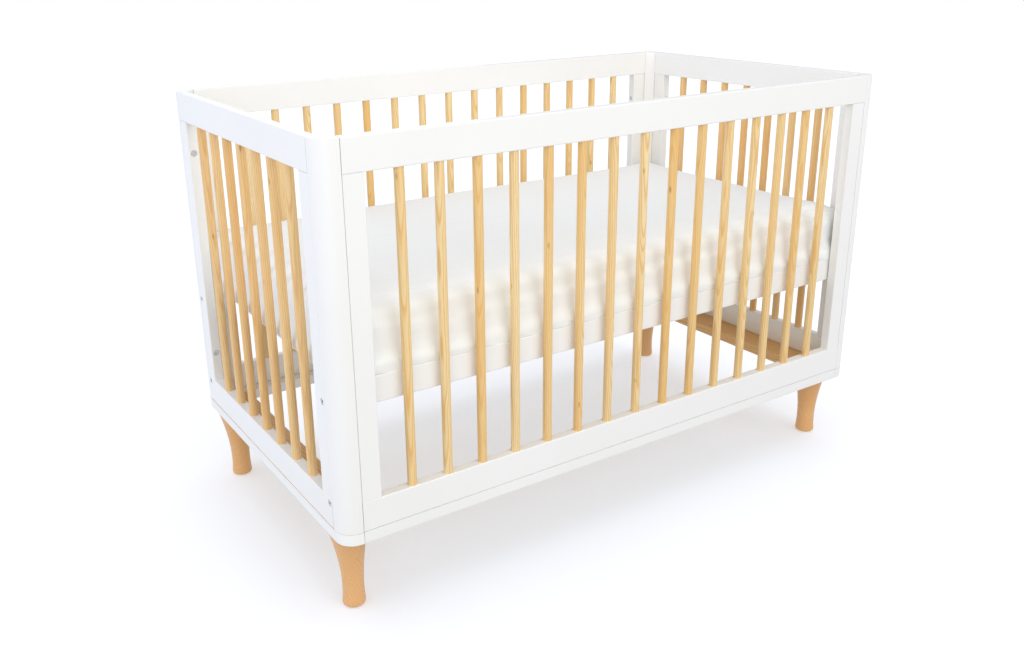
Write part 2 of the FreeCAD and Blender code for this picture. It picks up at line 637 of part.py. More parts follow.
def leg(corner):
    """Build a turned leg that flares towards its top and leans a little to the end."""
    data = CORNERS[corner]
    base = (signed(data["x"], "Layout.leg_x"), signed(data["y"], "Layout.leg_y"), "0")
    body = new_body(corner + "_leg", base, Rotation(Vector(0, 0, 1), 0 if data["x"] < 0 else 180))
    add_cylinder(body, "Sizes.leg_foot_diameter / 2", "Sizes.foot_height",
                 ("0", "0", "Sizes.glide_stand"))
    doc.recompute()
    floor = value("glide_stand")
    rim = ["Edge%d" % number for number, edge in enumerate(body.Tip.Shape.Edges, start=1)
           if edge.BoundBox.ZMax < floor + IN_PLANE]
    dress(body, "Fillet", rim, "Radius", "Sizes.foot_round")
    plane = next(item for item in body.Origin.OriginFeatures if item.Role == "XY_Plane")
    rings = []
    for height, diameter, share in LEG_SECTIONS:
        ring = body.newObject("Sketcher::SketchObject", "Ring")
        ring.AttachmentSupport = [(plane, "")]
        ring.MapMode = "FlatFace"
        ring.setExpression("AttachmentOffset.Base.x", "-Sizes.leg_lean * " + share)
        ring.setExpression("AttachmentOffset.Base.z", height)
        ring.addGeometry(Part.Circle(Vector(), Vector(0, 0, 1), value("leg_foot_diameter") / 2), False)
        ring.addConstraint(Sketcher.Constraint("Coincident", 0, 3, -1, 1))
        ring.addConstraint(Sketcher.Constraint("Diameter", 0, value("leg_foot_diameter")))
        ring.renameConstraint(1, "across")
        ring.setExpression("Constraints.across", diameter)
        rings.append(ring)
    doc.recompute()
    turning = body.newObject("PartDesign::AdditiveLoft", "Turning")
    turning.Profile = (rings[0], [])
    turning.Sections = rings[1:]
    doc.recompute()
    drill(body, "Sizes.leg_bolt_diameter / 2 + Sizes.fit_clearance",
          "Sizes.leg_bolt_depth + Sizes.fit_clearance", ("0", "0", "Sizes.leg_height"), "-Z")
    drill(body, "Sizes.glide_diameter / 2 + Sizes.fit_clearance",
          "Sizes.glide_height - Sizes.glide_stand", ("0", "0", "Sizes.glide_stand"))
    return body


for corner_name in CORNERS:
    leg(corner_name)

# ---------------------------------------------------------------- mattress base

FIRST_SLAT = "-(Sizes.slat_count - 1) / 2 * Layout.slat_pitch"
SLAT_SCREW_HOLE = "Sizes.slat_screw_diameter / 2 + Sizes.fit_clearance"
SLAT_HEAD_HOLE = "Sizes.slat_screw_head / 2 + Sizes.fit_clearance"
BED_DOWEL_HEIGHTS = ("Layout.bed_bottom + Sizes.bed_dowel_rise",
                     "Layout.bed_bottom + Sizes.bed_dowel_rise + Sizes.bed_dowel_pitch")


def bed_end_rail(label, side):
    """Build an end rail: bevelled past the posts, shallow between its ends, with two inserts."""
    body = new_body(label, (signed(side, "Layout.bed_half_length"), "0", "0"),
                    Rotation(Vector(0, 0, 1), 0 if side < 0 else 180))
    add_box(body, ("Layout.bed_rail_depth", "2 * Layout.bed_half_width", "Sizes.bed_rail_height"),
            ("0", "-Layout.bed_half_width", "Layout.bed_bottom"))
    doc.recompute()
    outer = straight_edges(body.Tip.Shape, Vector(0, 0, 1), lambda p: p.x < AT_CORNER)
    dress(body, "Chamfer", outer, "Size", "Layout.bed_corner_cut")
    half_relief = "(Layout.bed_half_width - Sizes.bed_end_block)"
    for depth, height in (("Layout.bed_rail_depth", "Sizes.bed_rail_height - Sizes.bed_end_bar"),
                          ("Sizes.bed_end_inset", "Sizes.bed_rail_height")):
        add_box(body, (depth, "2 * " + half_relief, height),
                ("0", "-" + half_relief, "Layout.bed_bottom"), "Subtractive")
    doc.recompute()
    relief_top = value("bed_top") - value("bed_end_bar")
    curves = straight_edges(body.Tip.Shape, Vector(1, 0, 0), lambda p: abs(p.z - relief_top) < IN_PLANE)
    dress(body, "Fillet", curves, "Radius", "Sizes.bed_end_curve")
    for sign in (-1, 1):
        drill(body, INSERT_HOLE, "Sizes.insert_length + Sizes.fit_clearance",
              ("0", signed(sign, "Layout.bed_bolt_y"), "Layout.bed_bolt_z"), "+X")
        for height in BED_DOWEL_HEIGHTS:
            drill(body, DOWEL_HOLE, "Sizes.bed_dowel_depth + Sizes.fit_clearance",
                  ("Layout.bed_rail_depth", signed(sign, "Layout.bed_dowel_y"), height), "-X")
    return body


def bed_side_rail(label, side):
    """Build the front or rear rail of the mattress base."""
    body = new_body(label, ("0", signed(side, "Layout.bed_half_width"), "0"),
                    Rotation(Vector(0, 0, 1), 0 if side < 0 else 180))
    half = "Layout.bed_inner_half_length"
    add_box(body, ("2 * " + half, "Layout.bed_rail_depth", "Sizes.bed_rail_height"),
            ("-" + half, "0", "Layout.bed_bottom"))
    ease_long_edges(body, Vector(1, 0, 0))
    for sign in "-+":
        inward = "-X" if sign == "+" else "+X"
        for height in BED_DOWEL_HEIGHTS:
            drill(body, DOWEL_HOLE, DOWEL_HOLE_DEPTH,
                  (sign + half, "Layout.bed_rail_depth / 2", height), inward)
    return body


def ledger(label, side):
    """Build a ledger that carries the slat ends."""
    body = new_body(label, ("0", signed(side, "Layout.bed_inner_half_width"), "0"),
                    Rotation(Vector(0, 0, 1), 0 if side < 0 else 180))
    half = "(Layout.bed_inner_half_length - Sizes.slat_clearance)"
    add_box(body, ("2 * " + half, "Sizes.ledger_size", "Sizes.ledger_size"),
            ("-" + half, "0", "Layout.slat_bottom - Sizes.ledger_size"))
    doc.recompute()
    hole = drill(body, SLAT_SCREW_HOLE,
                 "Sizes.slat_screw_length - Sizes.slat_thickness + Sizes.fit_clearance",
                 (FIRST_SLAT, "Sizes.ledger_size / 2", "Layout.slat_bottom"), "-Z")
    repeat(body, [hole], "Sizes.slat_count", "Layout.slat_pitch")
    return body


bed_end_rail("bed_left_rail", -1)
bed_end_rail("bed_right_rail", 1)
bed_side_rail("bed_front_rail", -1)
bed_side_rail("bed_rear_rail", 1)
ledger("bed_front_ledger", -1)
ledger("bed_rear_ledger", 1)

slats = new_body("bed_slats")
slats.AllowCompound = True
half_slat = "(Layout.bed_inner_half_width - Sizes.slat_clearance)"
first_slat = add_box(slats, ("Sizes.slat_width", "2 * " + half_slat, "Sizes.slat_thickness"),
                     (FIRST_SLAT + " - Sizes.slat_width / 2", "-" + half_slat, "Layout.slat_bottom"))
repeat(slats, [first_slat], "Sizes.slat_count", "Layout.slat_pitch")
for across in ("-Layout.slat_screw_y", "Layout.slat_screw_y"):
    shaft = drill(slats, SLAT_SCREW_HOLE, "Sizes.slat_thickness",
                  (FIRST_SLAT, across, "Layout.slat_bottom"))
    repeat(slats, [shaft], "Sizes.slat_count", "Layout.slat_pitch")
    seat = drill(slats, SLAT_HEAD_HOLE, "Sizes.slat_screw_head_height",
                 (FIRST_SLAT, across, "Layout.bed_top - Sizes.slat_screw_head_height"))
    repeat(slats, [seat], "Sizes.slat_count", "Layout.slat_pitch")

# ---------------------------------------------------------------- mattress

mattress = new_body("mattress")
half_mattress_length = "(Layout.half_length - Sizes.panel_thickness - Sizes.mattress_end_gap)"
half_mattress_width = "(Layout.half_width - Sizes.panel_thickness - Sizes.mattress_side_gap)"
add_box(mattress, ("2 * " + half_mattress_length, "2 * " + half_mattress_width,
                   "Sizes.mattress_thickness - Sizes.mattress_lift"),
        ("-" + half_mattress_length, "-" + half_mattress_width,
         "Layout.bed_top + Sizes.mattress_lift"))
doc.recompute()
dress(mattress, "Fillet", straight_edges(mattress.Tip.Shape, Vector(0, 0, 1)), "Radius",
      "Sizes.mattress_corner")
flat_faces = [value("bed_top") + value("mattress_lift"), value("bed_top") + value("mattress_thickness")]
rims = ["Edge%d" % number for number, edge in enumerate(mattress.Tip.Shape.Edges, start=1)
        if any(z - IN_PLANE < edge.BoundBox.ZMin and edge.BoundBox.ZMax < z + IN_PLANE
               for z in flat_faces)]
dress(mattress, "Fillet", rims, "Radius", "Sizes.mattress_edge")

# ---------------------------------------------------------------- fastener groups

CORNER_SIGNS = [(data["x"], data["y"]) for data in CORNERS.values()]


def row_of(count, pitch):
    """Return the positions of a centred row."""
    return [(index - (count - 1) / 2) * pitch for index in range(int(count))]


def both_ways(*distances):
    """Return each distance on both sides of the middle."""
    return [sign * distance for sign in (-1, 1) for distance in distances]


bolt = bolt_master("panel_bolt", "Sizes.stile_width + Sizes.seam_gap + Sizes.insert_length"
                                 " - Sizes.head_recess")
insert = sleeve_master("insert", "Sizes.insert_diameter", "Layout.insert_bore", "Sizes.insert_length")
dowel = rod_master("dowel", "Sizes.dowel_diameter", "2 * Sizes.dowel_depth")
post_inserts = []
stile_dowels = []
for panel_name, panel_data in PANELS.items():
    half = value(panel_data["run"] + "_half")
    reveal = half - value("stile_width")
    doweled = panel_data["fixing"] == "dowels"
    fasteners = []
    for sign in (-1, 1):
        outward = panel_direction(panel_name, sign)
        for name in POST_DOWEL_HEIGHTS if doweled else BOLT_HEIGHTS:
            height = value(name.split(".")[1])
            if doweled:
                start = sign * (half + value("seam_gap") / 2 - value("dowel_depth"))
                fasteners.append(copy_to(
                    dowel, panel_point(panel_name, start, value("panel_middle"), height), outward))
                continue
            start = sign * (reveal + value("head_recess"))
            fasteners.append(copy_to(
                bolt, panel_point(panel_name, start, value("panel_middle"), height), outward))
            face = sign * (half + value("seam_gap"))
            post_inserts.append(copy_to(
                insert, panel_point(panel_name, face, value("panel_middle"), height), outward))
    group(panel_name + "_" + panel_data["fixing"], fasteners)
    stations = [reveal + value("dowel_inset"),
                reveal + value("dowel_inset") + value("dowel_pitch")]
    for along in both_ways(*stations):
        for joint in (value("opening_bottom"), value("opening_top")):
            stile_dowels.append(copy_to(dowel, panel_point(
                panel_name, along, value("panel_middle"), joint - value("dowel_depth"))))
group("stile_dowels", stile_dowels)

inset_x = value("half_length") - value("post_bolt_inset")
inset_y = value("half_width") - value("post_bolt_inset")
post_bolt = bolt_master("post_bolt", "Sizes.board_thickness + Sizes.groove_gap + Sizes.insert_length"
                                     " - Sizes.head_recess")
group("post_bolts", [copy_to(post_bolt, (x * inset_x, y * inset_y,
                                         value("leg_height") + value("head_recess")))
                     for x, y in CORNER_SIGNS])
post_inserts += [copy_to(insert, (x * inset_x, y * inset_y, value("post_bottom")))
                 for x, y in CORNER_SIGNS]
group("post_inserts", post_inserts)

board_dowel = rod_master("board_dowel", "Sizes.dowel_diameter",
                         "Sizes.board_dowel_depth + Sizes.seam_gap + Sizes.dowel_depth")
board_dowel_x = value("half_length") - value("post_face") + value("board_dowel_depth")
board_dowel_y = value("half_width") - value("board_dowel_inset")
board_dowel_z = value("leg_height") + value("board_thickness") / 2
group("base_dowels", [copy_to(board_dowel, (x * board_dowel_x, y, board_dowel_z),
                              "+X" if x < 0 else "-X")
                      for x in (-1, 1)
                      for y in both_ways(board_dowel_y, board_dowel_y - value("board_dowel_pitch"))])

base_screw = screw_master("base_screw", "Sizes.board_thickness + Sizes.groove_gap + Sizes.screw_bite",
                          "Sizes.screw_diameter", "Sizes.screw_head_diameter",
                          "Sizes.screw_head_height")
base_screws = []
for panel_name, panel_data in PANELS.items():
    row = row_of(value(panel_data["run"] + "_screw_count"), value(panel_data["run"] + "_screw_pitch"))
    for along in row:
        base_screws.append(copy_to(base_screw, panel_point(
            panel_name, along, value("panel_middle"), value("leg_height"))))
group("base_screws", base_screws)

leg_bolt = rod_master("leg_bolt", "Sizes.leg_bolt_diameter",
                      "Sizes.leg_bolt_depth + Sizes.leg_insert_length")
leg_insert = sleeve_master("leg_insert", "Sizes.leg_insert_diameter",
                           "(Sizes.leg_bolt_diameter + 2 * Sizes.fit_clearance)",
                           "Sizes.leg_insert_length")
glide = rod_master("glide", "Sizes.glide_diameter", "Sizes.glide_height")
leg_spots = [(x * value("leg_x"), y * value("leg_y")) for x, y in CORNER_SIGNS]
group("leg_bolts", [copy_to(leg_bolt, (x, y, value("leg_height") - value("leg_bolt_depth")))
                    for x, y in leg_spots])
group("leg_inserts", [copy_to(leg_insert, (x, y, value("leg_height"))) for x, y in leg_spots])
group("foot_glides", [copy_to(glide, (x, y, 0)) for x, y in leg_spots])

bed_bolt = bolt_master("bed_bolt", "Sizes.panel_thickness + Sizes.bed_gap - Sizes.bed_bolt_clearance"
                                   " - Sizes.head_recess")
bed_bolts = []
bed_inserts = []
for panel_name in ("left_panel", "right_panel"):
    inward = "+X" if panel_name == "left_panel" else "-X"
    for along in both_ways(value("bed_bolt_y")):
        for height in (value("bed_bolt_z"), value("bed_bolt_z") - value("bed_drop")):
            bed_bolts.append(copy_to(bed_bolt, panel_point(
                panel_name, along, value("head_recess"), height), inward))
        bed_inserts.append(copy_to(insert, panel_point(
            panel_name, along, value("panel_thickness") + value("bed_gap"),
            value("bed_bolt_z")), inward))
group("bed_bolts", bed_bolts)
group("bed_inserts", bed_inserts)

bed_dowel = rod_master("bed_dowel", "Sizes.dowel_diameter", "Sizes.bed_dowel_depth + Sizes.dowel_depth")
bed_dowel_x = value("bed_inner_half_length") + value("bed_dowel_depth")
lower_dowel_z = value("bed_bottom") + value("bed_dowel_rise")
group("bed_dowels", [copy_to(bed_dowel, (x * bed_dowel_x, y * value("bed_dowel_y"), z),
                             "+X" if x < 0 else "-X")
                     for x, y in CORNER_SIGNS
                     for z in (lower_dowel_z, lower_dowel_z + value("bed_dowel_pitch"))])

slat_screw = screw_master("slat_screw", "Sizes.slat_screw_length", "Sizes.slat_screw_diameter",
                          "Sizes.slat_screw_head", "Sizes.slat_screw_head_height")
group("slat_screws", [copy_to(slat_screw, (x, y, value("bed_top")), "-Z")
                      for x in row_of(value("slat_count"), value("slat_pitch"))
                      for y in both_ways(value("slat_screw_y"))])

# ---------------------------------------------------------------- check and write

doc.recompute()
for item in doc.Objects:
    if {"Invalid", "Error"} & set(item.State):
        owner = item.getParentGeoFeatureGroup()
        name = owner.Label + "." + item.Name if owner else item.Name
        raise RuntimeError("%s failed: %s" % (name, item.State))

os.makedirs("parts", exist_ok=True)
for part in parts:
    if part.Shape.isNull() or not part.Shape.isValid():
        raise RuntimeError("%s has no valid shape" % part.Label)
for part in parts:
    part.Shape.exportStep("parts/%s.step" % part.Label)
print("%d sub-parts, %d solids" % (len(parts), sum(len(part.Shape.Solids) for part in parts)))
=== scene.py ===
"""Looks of a full-size baby crib: lacquered frame, turned timber, steel fittings and a dressed mattress.

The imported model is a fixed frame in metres. Every place and size here is read from it.
"""

import logging
import math
from abc import ABC, abstractmethod
from dataclasses import dataclass, field
from enum import Enum
from typing import Any, Iterable, Mapping, Sequence

import bpy
from mathutils import Euler, Matrix, Vector, noise


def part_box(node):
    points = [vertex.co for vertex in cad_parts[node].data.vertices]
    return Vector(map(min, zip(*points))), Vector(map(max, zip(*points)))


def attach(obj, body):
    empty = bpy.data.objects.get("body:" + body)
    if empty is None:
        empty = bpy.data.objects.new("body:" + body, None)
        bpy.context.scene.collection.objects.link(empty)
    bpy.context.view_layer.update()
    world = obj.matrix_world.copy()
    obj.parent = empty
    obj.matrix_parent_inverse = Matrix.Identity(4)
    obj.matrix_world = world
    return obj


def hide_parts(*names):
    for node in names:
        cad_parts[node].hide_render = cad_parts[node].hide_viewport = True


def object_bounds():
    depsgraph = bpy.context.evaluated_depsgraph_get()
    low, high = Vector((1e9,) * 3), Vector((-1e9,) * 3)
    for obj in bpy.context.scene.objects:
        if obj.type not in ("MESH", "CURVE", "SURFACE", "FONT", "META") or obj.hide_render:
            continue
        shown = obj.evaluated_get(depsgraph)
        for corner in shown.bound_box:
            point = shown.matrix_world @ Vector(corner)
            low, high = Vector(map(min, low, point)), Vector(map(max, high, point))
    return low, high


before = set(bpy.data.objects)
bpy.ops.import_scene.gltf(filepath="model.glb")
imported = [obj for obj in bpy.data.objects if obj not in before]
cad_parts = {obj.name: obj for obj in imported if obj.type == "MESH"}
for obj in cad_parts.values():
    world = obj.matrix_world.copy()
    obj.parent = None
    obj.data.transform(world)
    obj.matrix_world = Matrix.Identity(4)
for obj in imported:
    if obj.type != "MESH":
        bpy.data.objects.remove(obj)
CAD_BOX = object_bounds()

LOG = logging.getLogger("crib")
MM = 0.001
# The angle, in radians, that Blender's wave texture turns through in one unit at scale one.
WAVE_ANGLE = 20

Colour = tuple[float, float, float, float]


def linear(colour: str) -> Colour:
    """Turn an sRGB hex colour into the linear colour that a shader takes.

    Args:
        colour: The colour as "#RRGGBB".

    Returns:
        Red, green, blue and an alpha of one.
    """
    shares = (int(colour[start:start + 2], 16) / 255 for start in (1, 3, 5))
    red, green, blue = (
        share / 12.92 if share <= 0.04045 else ((share + 0.055) / 1.055) ** 2.4 for share in shares
    )
    return (red, green, blue, 1.0)


def add(
    tree: bpy.types.NodeTree,
    kind: str,
    inputs: Mapping[str | int, Any] | None = None,
    stops: Sequence[tuple[float, Colour]] = (),
    **settings: Any,
) -> bpy.types.Node:
    """Add a shader node with its settings and links.

    Args:
        tree: The node tree to add to.
        kind: The node's type, without its "ShaderNode" prefix.
        inputs: Values or output sockets, by the name or number of the input they go to.
        stops: Positions and colours, for a colour ramp.
        **settings: Properties of the node.

    Returns:
        The new node.
    """
    node = tree.nodes.new("ShaderNode" + kind)
    for name, setting in settings.items():
        setattr(node, name, setting)
    for key, given in (inputs or {}).items():
        if isinstance(given, bpy.types.NodeSocket):
            tree.links.new(given, node.inputs[key])
        else:
            node.inputs[key].default_value = given
    for number, (position, colour) in enumerate(stops):
        elements = node.color_ramp.elements
        stop = elements[number] if number < len(elements) else elements.new(position)
        stop.position = position
        stop.color = colour
    return node


# ---------------------------------------------------------------- finishes


class Grain(Enum):
    """The direction that a timber's fibres run in, as the turn that brings it to Z."""

    ALONG_X = (0.0, -math.pi / 2, 0.0)
    ALONG_Y = (math.pi / 2, 0.0, 0.0)
    ALONG_Z = (0.0, 0.0, 0.0)


@dataclass(frozen=True)
class Finish(ABC):
    """A surface: what the piece is made of, and how that surface was made."""

    name: str

    @abstractmethod
    def shade(self, tree: bpy.types.NodeTree, place: bpy.types.NodeSocket) -> bpy.types.Node:
        """Build the surface's nodes.

        Args:
            tree: The material's node tree.
            place: The point on the piece, in metres.

        Returns:
            The shader node.
        """

    def material(self) -> bpy.types.Material:
        """Make the material.

        Returns:
            The material, with this surface's nodes.
        """
        material = bpy.data.materials.new(self.name)
        material.use_nodes = True
        tree = material.node_tree
        tree.nodes.clear()
        place = add(tree, "TexCoord").outputs["Object"]
        surface = self.shade(tree, place)
        add(tree, "OutputMaterial", {"Surface": surface.outputs[0]})
        return material


@dataclass(frozen=True)
class Lacquer(Finish):
    """White lacquer sprayed on sanded timber: an even film, satin, with a faint ripple."""

    film: str = "#F7F7F4"
    thin_film: str = "#F1F1ED"
    cloud: float = 0.22
    # Spray ripple is under a millimetre wide, and is drawn at 4 mm so that it shows.
    ripple: float = 4 * MM
    ripple_depth: float = 0.012 * MM
    roughness: float = 0.36
    gloss_spread: float = 0.05

    def shade(self, tree: bpy.types.NodeTree, place: bpy.types.NodeSocket) -> bpy.types.Node:
        """Build the film, its thin places and its ripple.

        Args:
            tree: The material's node tree.
            place: The point on the piece, in metres.

        Returns:
            The shader node.
        """
        clouds = add(tree, "TexNoise", {"Vector": place, "Scale": 1 / self.cloud, "Detail": 3.0})
        colour = add(
            tree,
            "Mix",
            {0: clouds.outputs["Fac"], 6: linear(self.thin_film), 7: linear(self.film)},
            data_type="RGBA",
        )
        ripple = add(tree, "TexNoise", {"Vector": place, "Scale": 1 / self.ripple, "Detail": 2.0})
        gloss = add(
            tree,
            "MapRange",
            {"Value": ripple.outputs["Fac"], "To Min": self.roughness - self.gloss_spread,
             "To Max": self.roughness + self.gloss_spread},
        )
        relief = add(
            tree, "Bump", {"Height": ripple.outputs["Fac"], "Distance": self.ripple_depth}
        )
        return add(
            tree,
            "BsdfPrincipled",
            {
                "Base Color": colour.outputs[2],
                "Roughness": gloss.outputs["Result"],
                "IOR": 1.49,
                "Coat Weight": 0.15,
                "Coat Roughness": 0.25,
                "Normal": relief.outputs["Normal"],
            },
        )


@dataclass(frozen=True)
class Row:
    """Where a row of alike pieces starts, and the step from one to the next."""

    start: float = 0.0
    step: float = 10.0


@dataclass(frozen=True)
class Timber(Finish):
    """Clear-finished timber: growth rings cut lengthwise, with fine fibres between them."""

    early_wood: str = "#F7E3B0"
    late_wood: str = "#D89D49"
    deep_tint: str = "#E6B35F"
    ring: float = 3.4 * MM
    ring_share: float = 0.55
    wander: float = 7 * MM
    wander_width: float = 60 * MM
    wander_length: float = 300 * MM
    # Fibres are about 0.1 mm wide, and are drawn at 1.4 mm so that they show.
    fibre: float = 1.4 * MM
    fibre_length: float = 45 * MM
    fibre_depth: float = 0.03 * MM
    fibre_share: float = 0.7
    pale_share: float = 0.28
    even_tone: float = 0.45
    lean: float = 0.0
    knot_tint: str = "#A9712F"
    knot_spread: float = 32 * MM
    knot_size: float = 3.2 * MM
    knot_share: float = 0.75
    grain: Grain = Grain.ALONG_Z
    row_x: Row = Row()
    row_y: Row = Row()
    piece_contrast: float = 0.6
    roughness: float = 0.42
    smoother: float = 0.06
    rougher: float = 0.08
    coat: float = 0.12

    def chance(
        self, tree: bpy.types.NodeTree, place: bpy.types.NodeSocket
    ) -> bpy.types.NodeSocket:
        """Draw three chances for the piece that a point is on.

        Args:
            tree: The material's node tree.
            place: The point on the piece, in metres.

        Returns:
            Three numbers between zero and one, the same all over one piece.
        """
        split = add(tree, "SeparateXYZ", {0: place})
        cells = []
        for axis, row in (("X", self.row_x), ("Y", self.row_y)):
            steps = add(
                tree,
                "Math",
                {0: split.outputs[axis], 1: 1 / row.step, 2: 0.5 - row.start / row.step},
                operation="MULTIPLY_ADD",
            )
            cells.append(add(tree, "Math", {0: steps.outputs[0]}, operation="FLOOR").outputs[0])
        cell = add(tree, "CombineXYZ", {0: cells[0], 1: cells[1]})
        drawn = add(tree, "TexWhiteNoise", {"Vector": cell.outputs[0]}, noise_dimensions="3D")
        return drawn.outputs["Color"]

    def place_in_log(
        self,
        tree: bpy.types.NodeTree,
        place: bpy.types.NodeSocket,
        chance: bpy.types.NodeSocket,
        turn_share: bpy.types.NodeSocket,
    ) -> bpy.types.NodeSocket:
        """Find where in its log a point was cut, so that alike pieces differ.

        Args:
            tree: The material's node tree.
            place: The point on the piece, in metres.
            chance: The piece's chances, which move it along and across the log.
            turn_share: The share of a full turn that the piece is turned by.

        Returns:
            The point in the log, whose fibres run along Z.
        """
        upright = add(
            tree,
            "VectorRotate",
            {"Vector": place, "Rotation": self.grain.value},
            rotation_type="EULER_XYZ",
        )
        leaning = add(
            tree,
            "VectorRotate",
            {"Vector": upright.outputs[0], "Angle": math.radians(self.lean)},
            rotation_type="X_AXIS",
        )
        turn = add(
            tree, "Math", {0: turn_share, 1: 2 * math.pi}, operation="MULTIPLY"
        )
        turned = add(
            tree,
            "VectorRotate",
            {"Vector": leaning.outputs[0], "Angle": turn.outputs[0]},
            rotation_type="Z_AXIS",
        )
        moved = add(tree, "VectorMath", {0: turned.outputs[0], 1: chance}, operation="ADD")
        return moved.outputs[0]

    def growth(
        self, tree: bpy.types.NodeTree, log: bpy.types.NodeSocket, slow: bpy.types.NodeSocket
    ) -> bpy.types.NodeSocket:
        """Build the rings, which wander, and the fibres over them.

        Args:
            tree: The material's node tree.
            log: The point in the log.
            slow: The same point, scaled for slow changes.

        Returns:
            How dark the grain is, from zero to a little over one.
        """
        drift = add(tree, "TexNoise", {"Vector": slow, "Scale": 1.0, "Detail": 2.0})
        across = add(tree, "SeparateXYZ", {0: log})
        bent = add(
            tree,
            "Math",
            {0: drift.outputs["Fac"], 1: 4 * self.wander / self.ring},
            operation="MULTIPLY",
        )
        rings = add(
            tree,
            "Math",
            {0: across.outputs["X"], 1: 1 / self.ring, 2: bent.outputs[0]},
            operation="MULTIPLY_ADD",
        )
        phase = add(tree, "Math", {0: rings.outputs[0]}, operation="FRACT")
        early, late = linear("#000000"), linear("#FFFFFF")
        band = add(
            tree,
            "ValToRGB",
            {0: phase.outputs[0]},
            stops=((0.0, late), (0.16, early), (0.55, linear("#3A3A3A")), (0.93, late)),
        )
        thin = add(
            tree,
            "Mapping",
            {"Vector": log, "Scale": (1 / self.fibre, 1 / self.fibre, 1 / self.fibre_length)},
        )
        fibres = add(
            tree,
            "TexNoise",
            {"Vector": thin.outputs[0], "Scale": 1.0, "Detail": 3.0, "Roughness": 0.6},
        )
        ring_strength = add(
            tree, "Math", {0: band.outputs[0], 1: self.ring_share}, operation="MULTIPLY"
        )
        streaked = add(
            tree,
            "Math",
            {0: fibres.outputs["Fac"], 1: self.fibre_share, 2: ring_strength.outputs[0]},
            operation="MULTIPLY_ADD",
        )
        return streaked.outputs[0]

    def knots(
        self, tree: bpy.types.NodeTree, log: bpy.types.NodeSocket
    ) -> bpy.types.NodeSocket:
        """Scatter small knots through the log.

        Args:
            tree: The material's node tree.
            log: The point in the log.

        Returns:
            The share of the knots' colour.
        """
        spread = 1 / self.knot_spread
        buds = add(tree, "Mapping", {"Vector": log, "Scale": (spread, spread, spread / 3)})
        nearest = add(tree, "TexVoronoi", {"Vector": buds.outputs[0], "Scale": 1.0})
        edge = self.knot_size / self.knot_spread
        knot = add(
            tree,
            "MapRange",
            {"Value": nearest.outputs["Distance"], "From Min": edge, "From Max": 0.3 * edge,
             "To Max": self.knot_share},
        )
        return knot.outputs["Result"]

    def colour(
        self, tree: bpy.types.NodeTree, place: bpy.types.NodeSocket
    ) -> tuple[bpy.types.NodeSocket, bpy.types.NodeSocket]:
        """Build the grain.

        Args:
            tree: The material's node tree.
            place: The point on the piece, in metres.

        Returns:
            The colour, and a height between zero and one for the relief.
        """
        chance = self.chance(tree, place)
        chances = add(tree, "SeparateXYZ", {0: chance})
        log = self.place_in_log(tree, place, chance, chances.outputs["X"])
        wide = 1 / self.wander_width
        slow = add(
            tree, "Mapping", {"Vector": log, "Scale": (wide, wide, 1 / self.wander_length)}
        ).outputs[0]
        height = self.growth(tree, log, slow)
        shade = add(
            tree, "Math", {0: height, 1: self.pale_share}, operation="SUBTRACT", use_clamp=True
        )
        grained = add(
            tree,
            "Mix",
            {0: shade.outputs[0], 6: linear(self.early_wood), 7: linear(self.late_wood)},
            data_type="RGBA",
        )
        blotch = add(tree, "TexNoise", {"Vector": slow, "Scale": 0.6, "Detail": 2.0})
        tone = add(
            tree,
            "Math",
            {0: chances.outputs["Y"], 1: self.piece_contrast, 2: blotch.outputs["Fac"]},
            operation="MULTIPLY_ADD",
        )
        depth = add(
            tree, "Math", {0: tone.outputs[0], 1: self.even_tone}, operation="SUBTRACT", use_clamp=True
        )
        colour = add(
            tree,
            "Mix",
            {0: depth.outputs[0], 6: grained.outputs[2], 7: linear(self.deep_tint)},
            data_type="RGBA",
        )
        knotted = add(
            tree,
            "Mix",
            {0: self.knots(tree, log), 6: colour.outputs[2], 7: linear(self.knot_tint)},
            data_type="RGBA",
        )
        return knotted.outputs[2], height

    def shade(self, tree: bpy.types.NodeTree, place: bpy.types.NodeSocket) -> bpy.types.Node:
        """Build the grain under its clear coat.

        Args:
            tree: The material's node tree.
            place: The point on the piece, in metres.

        Returns:
            The shader node.
        """
        colour, height = self.colour(tree, place)
        gloss = add(
            tree,
            "MapRange",
            {"Value": height, "To Min": self.roughness - self.smoother,
             "To Max": self.roughness + self.rougher},
        )
        relief = add(tree, "Bump", {"Height": height, "Distance": self.fibre_depth})
        return add(
            tree,
            "BsdfPrincipled",
            {
                "Base Color": colour,
                "Roughness": gloss.outputs["Result"],
                "IOR": 1.5,
                "Coat Weight": self.coat,
                "Coat Roughness": 0.3,
                "Normal": relief.outputs["Normal"],
            },
        )


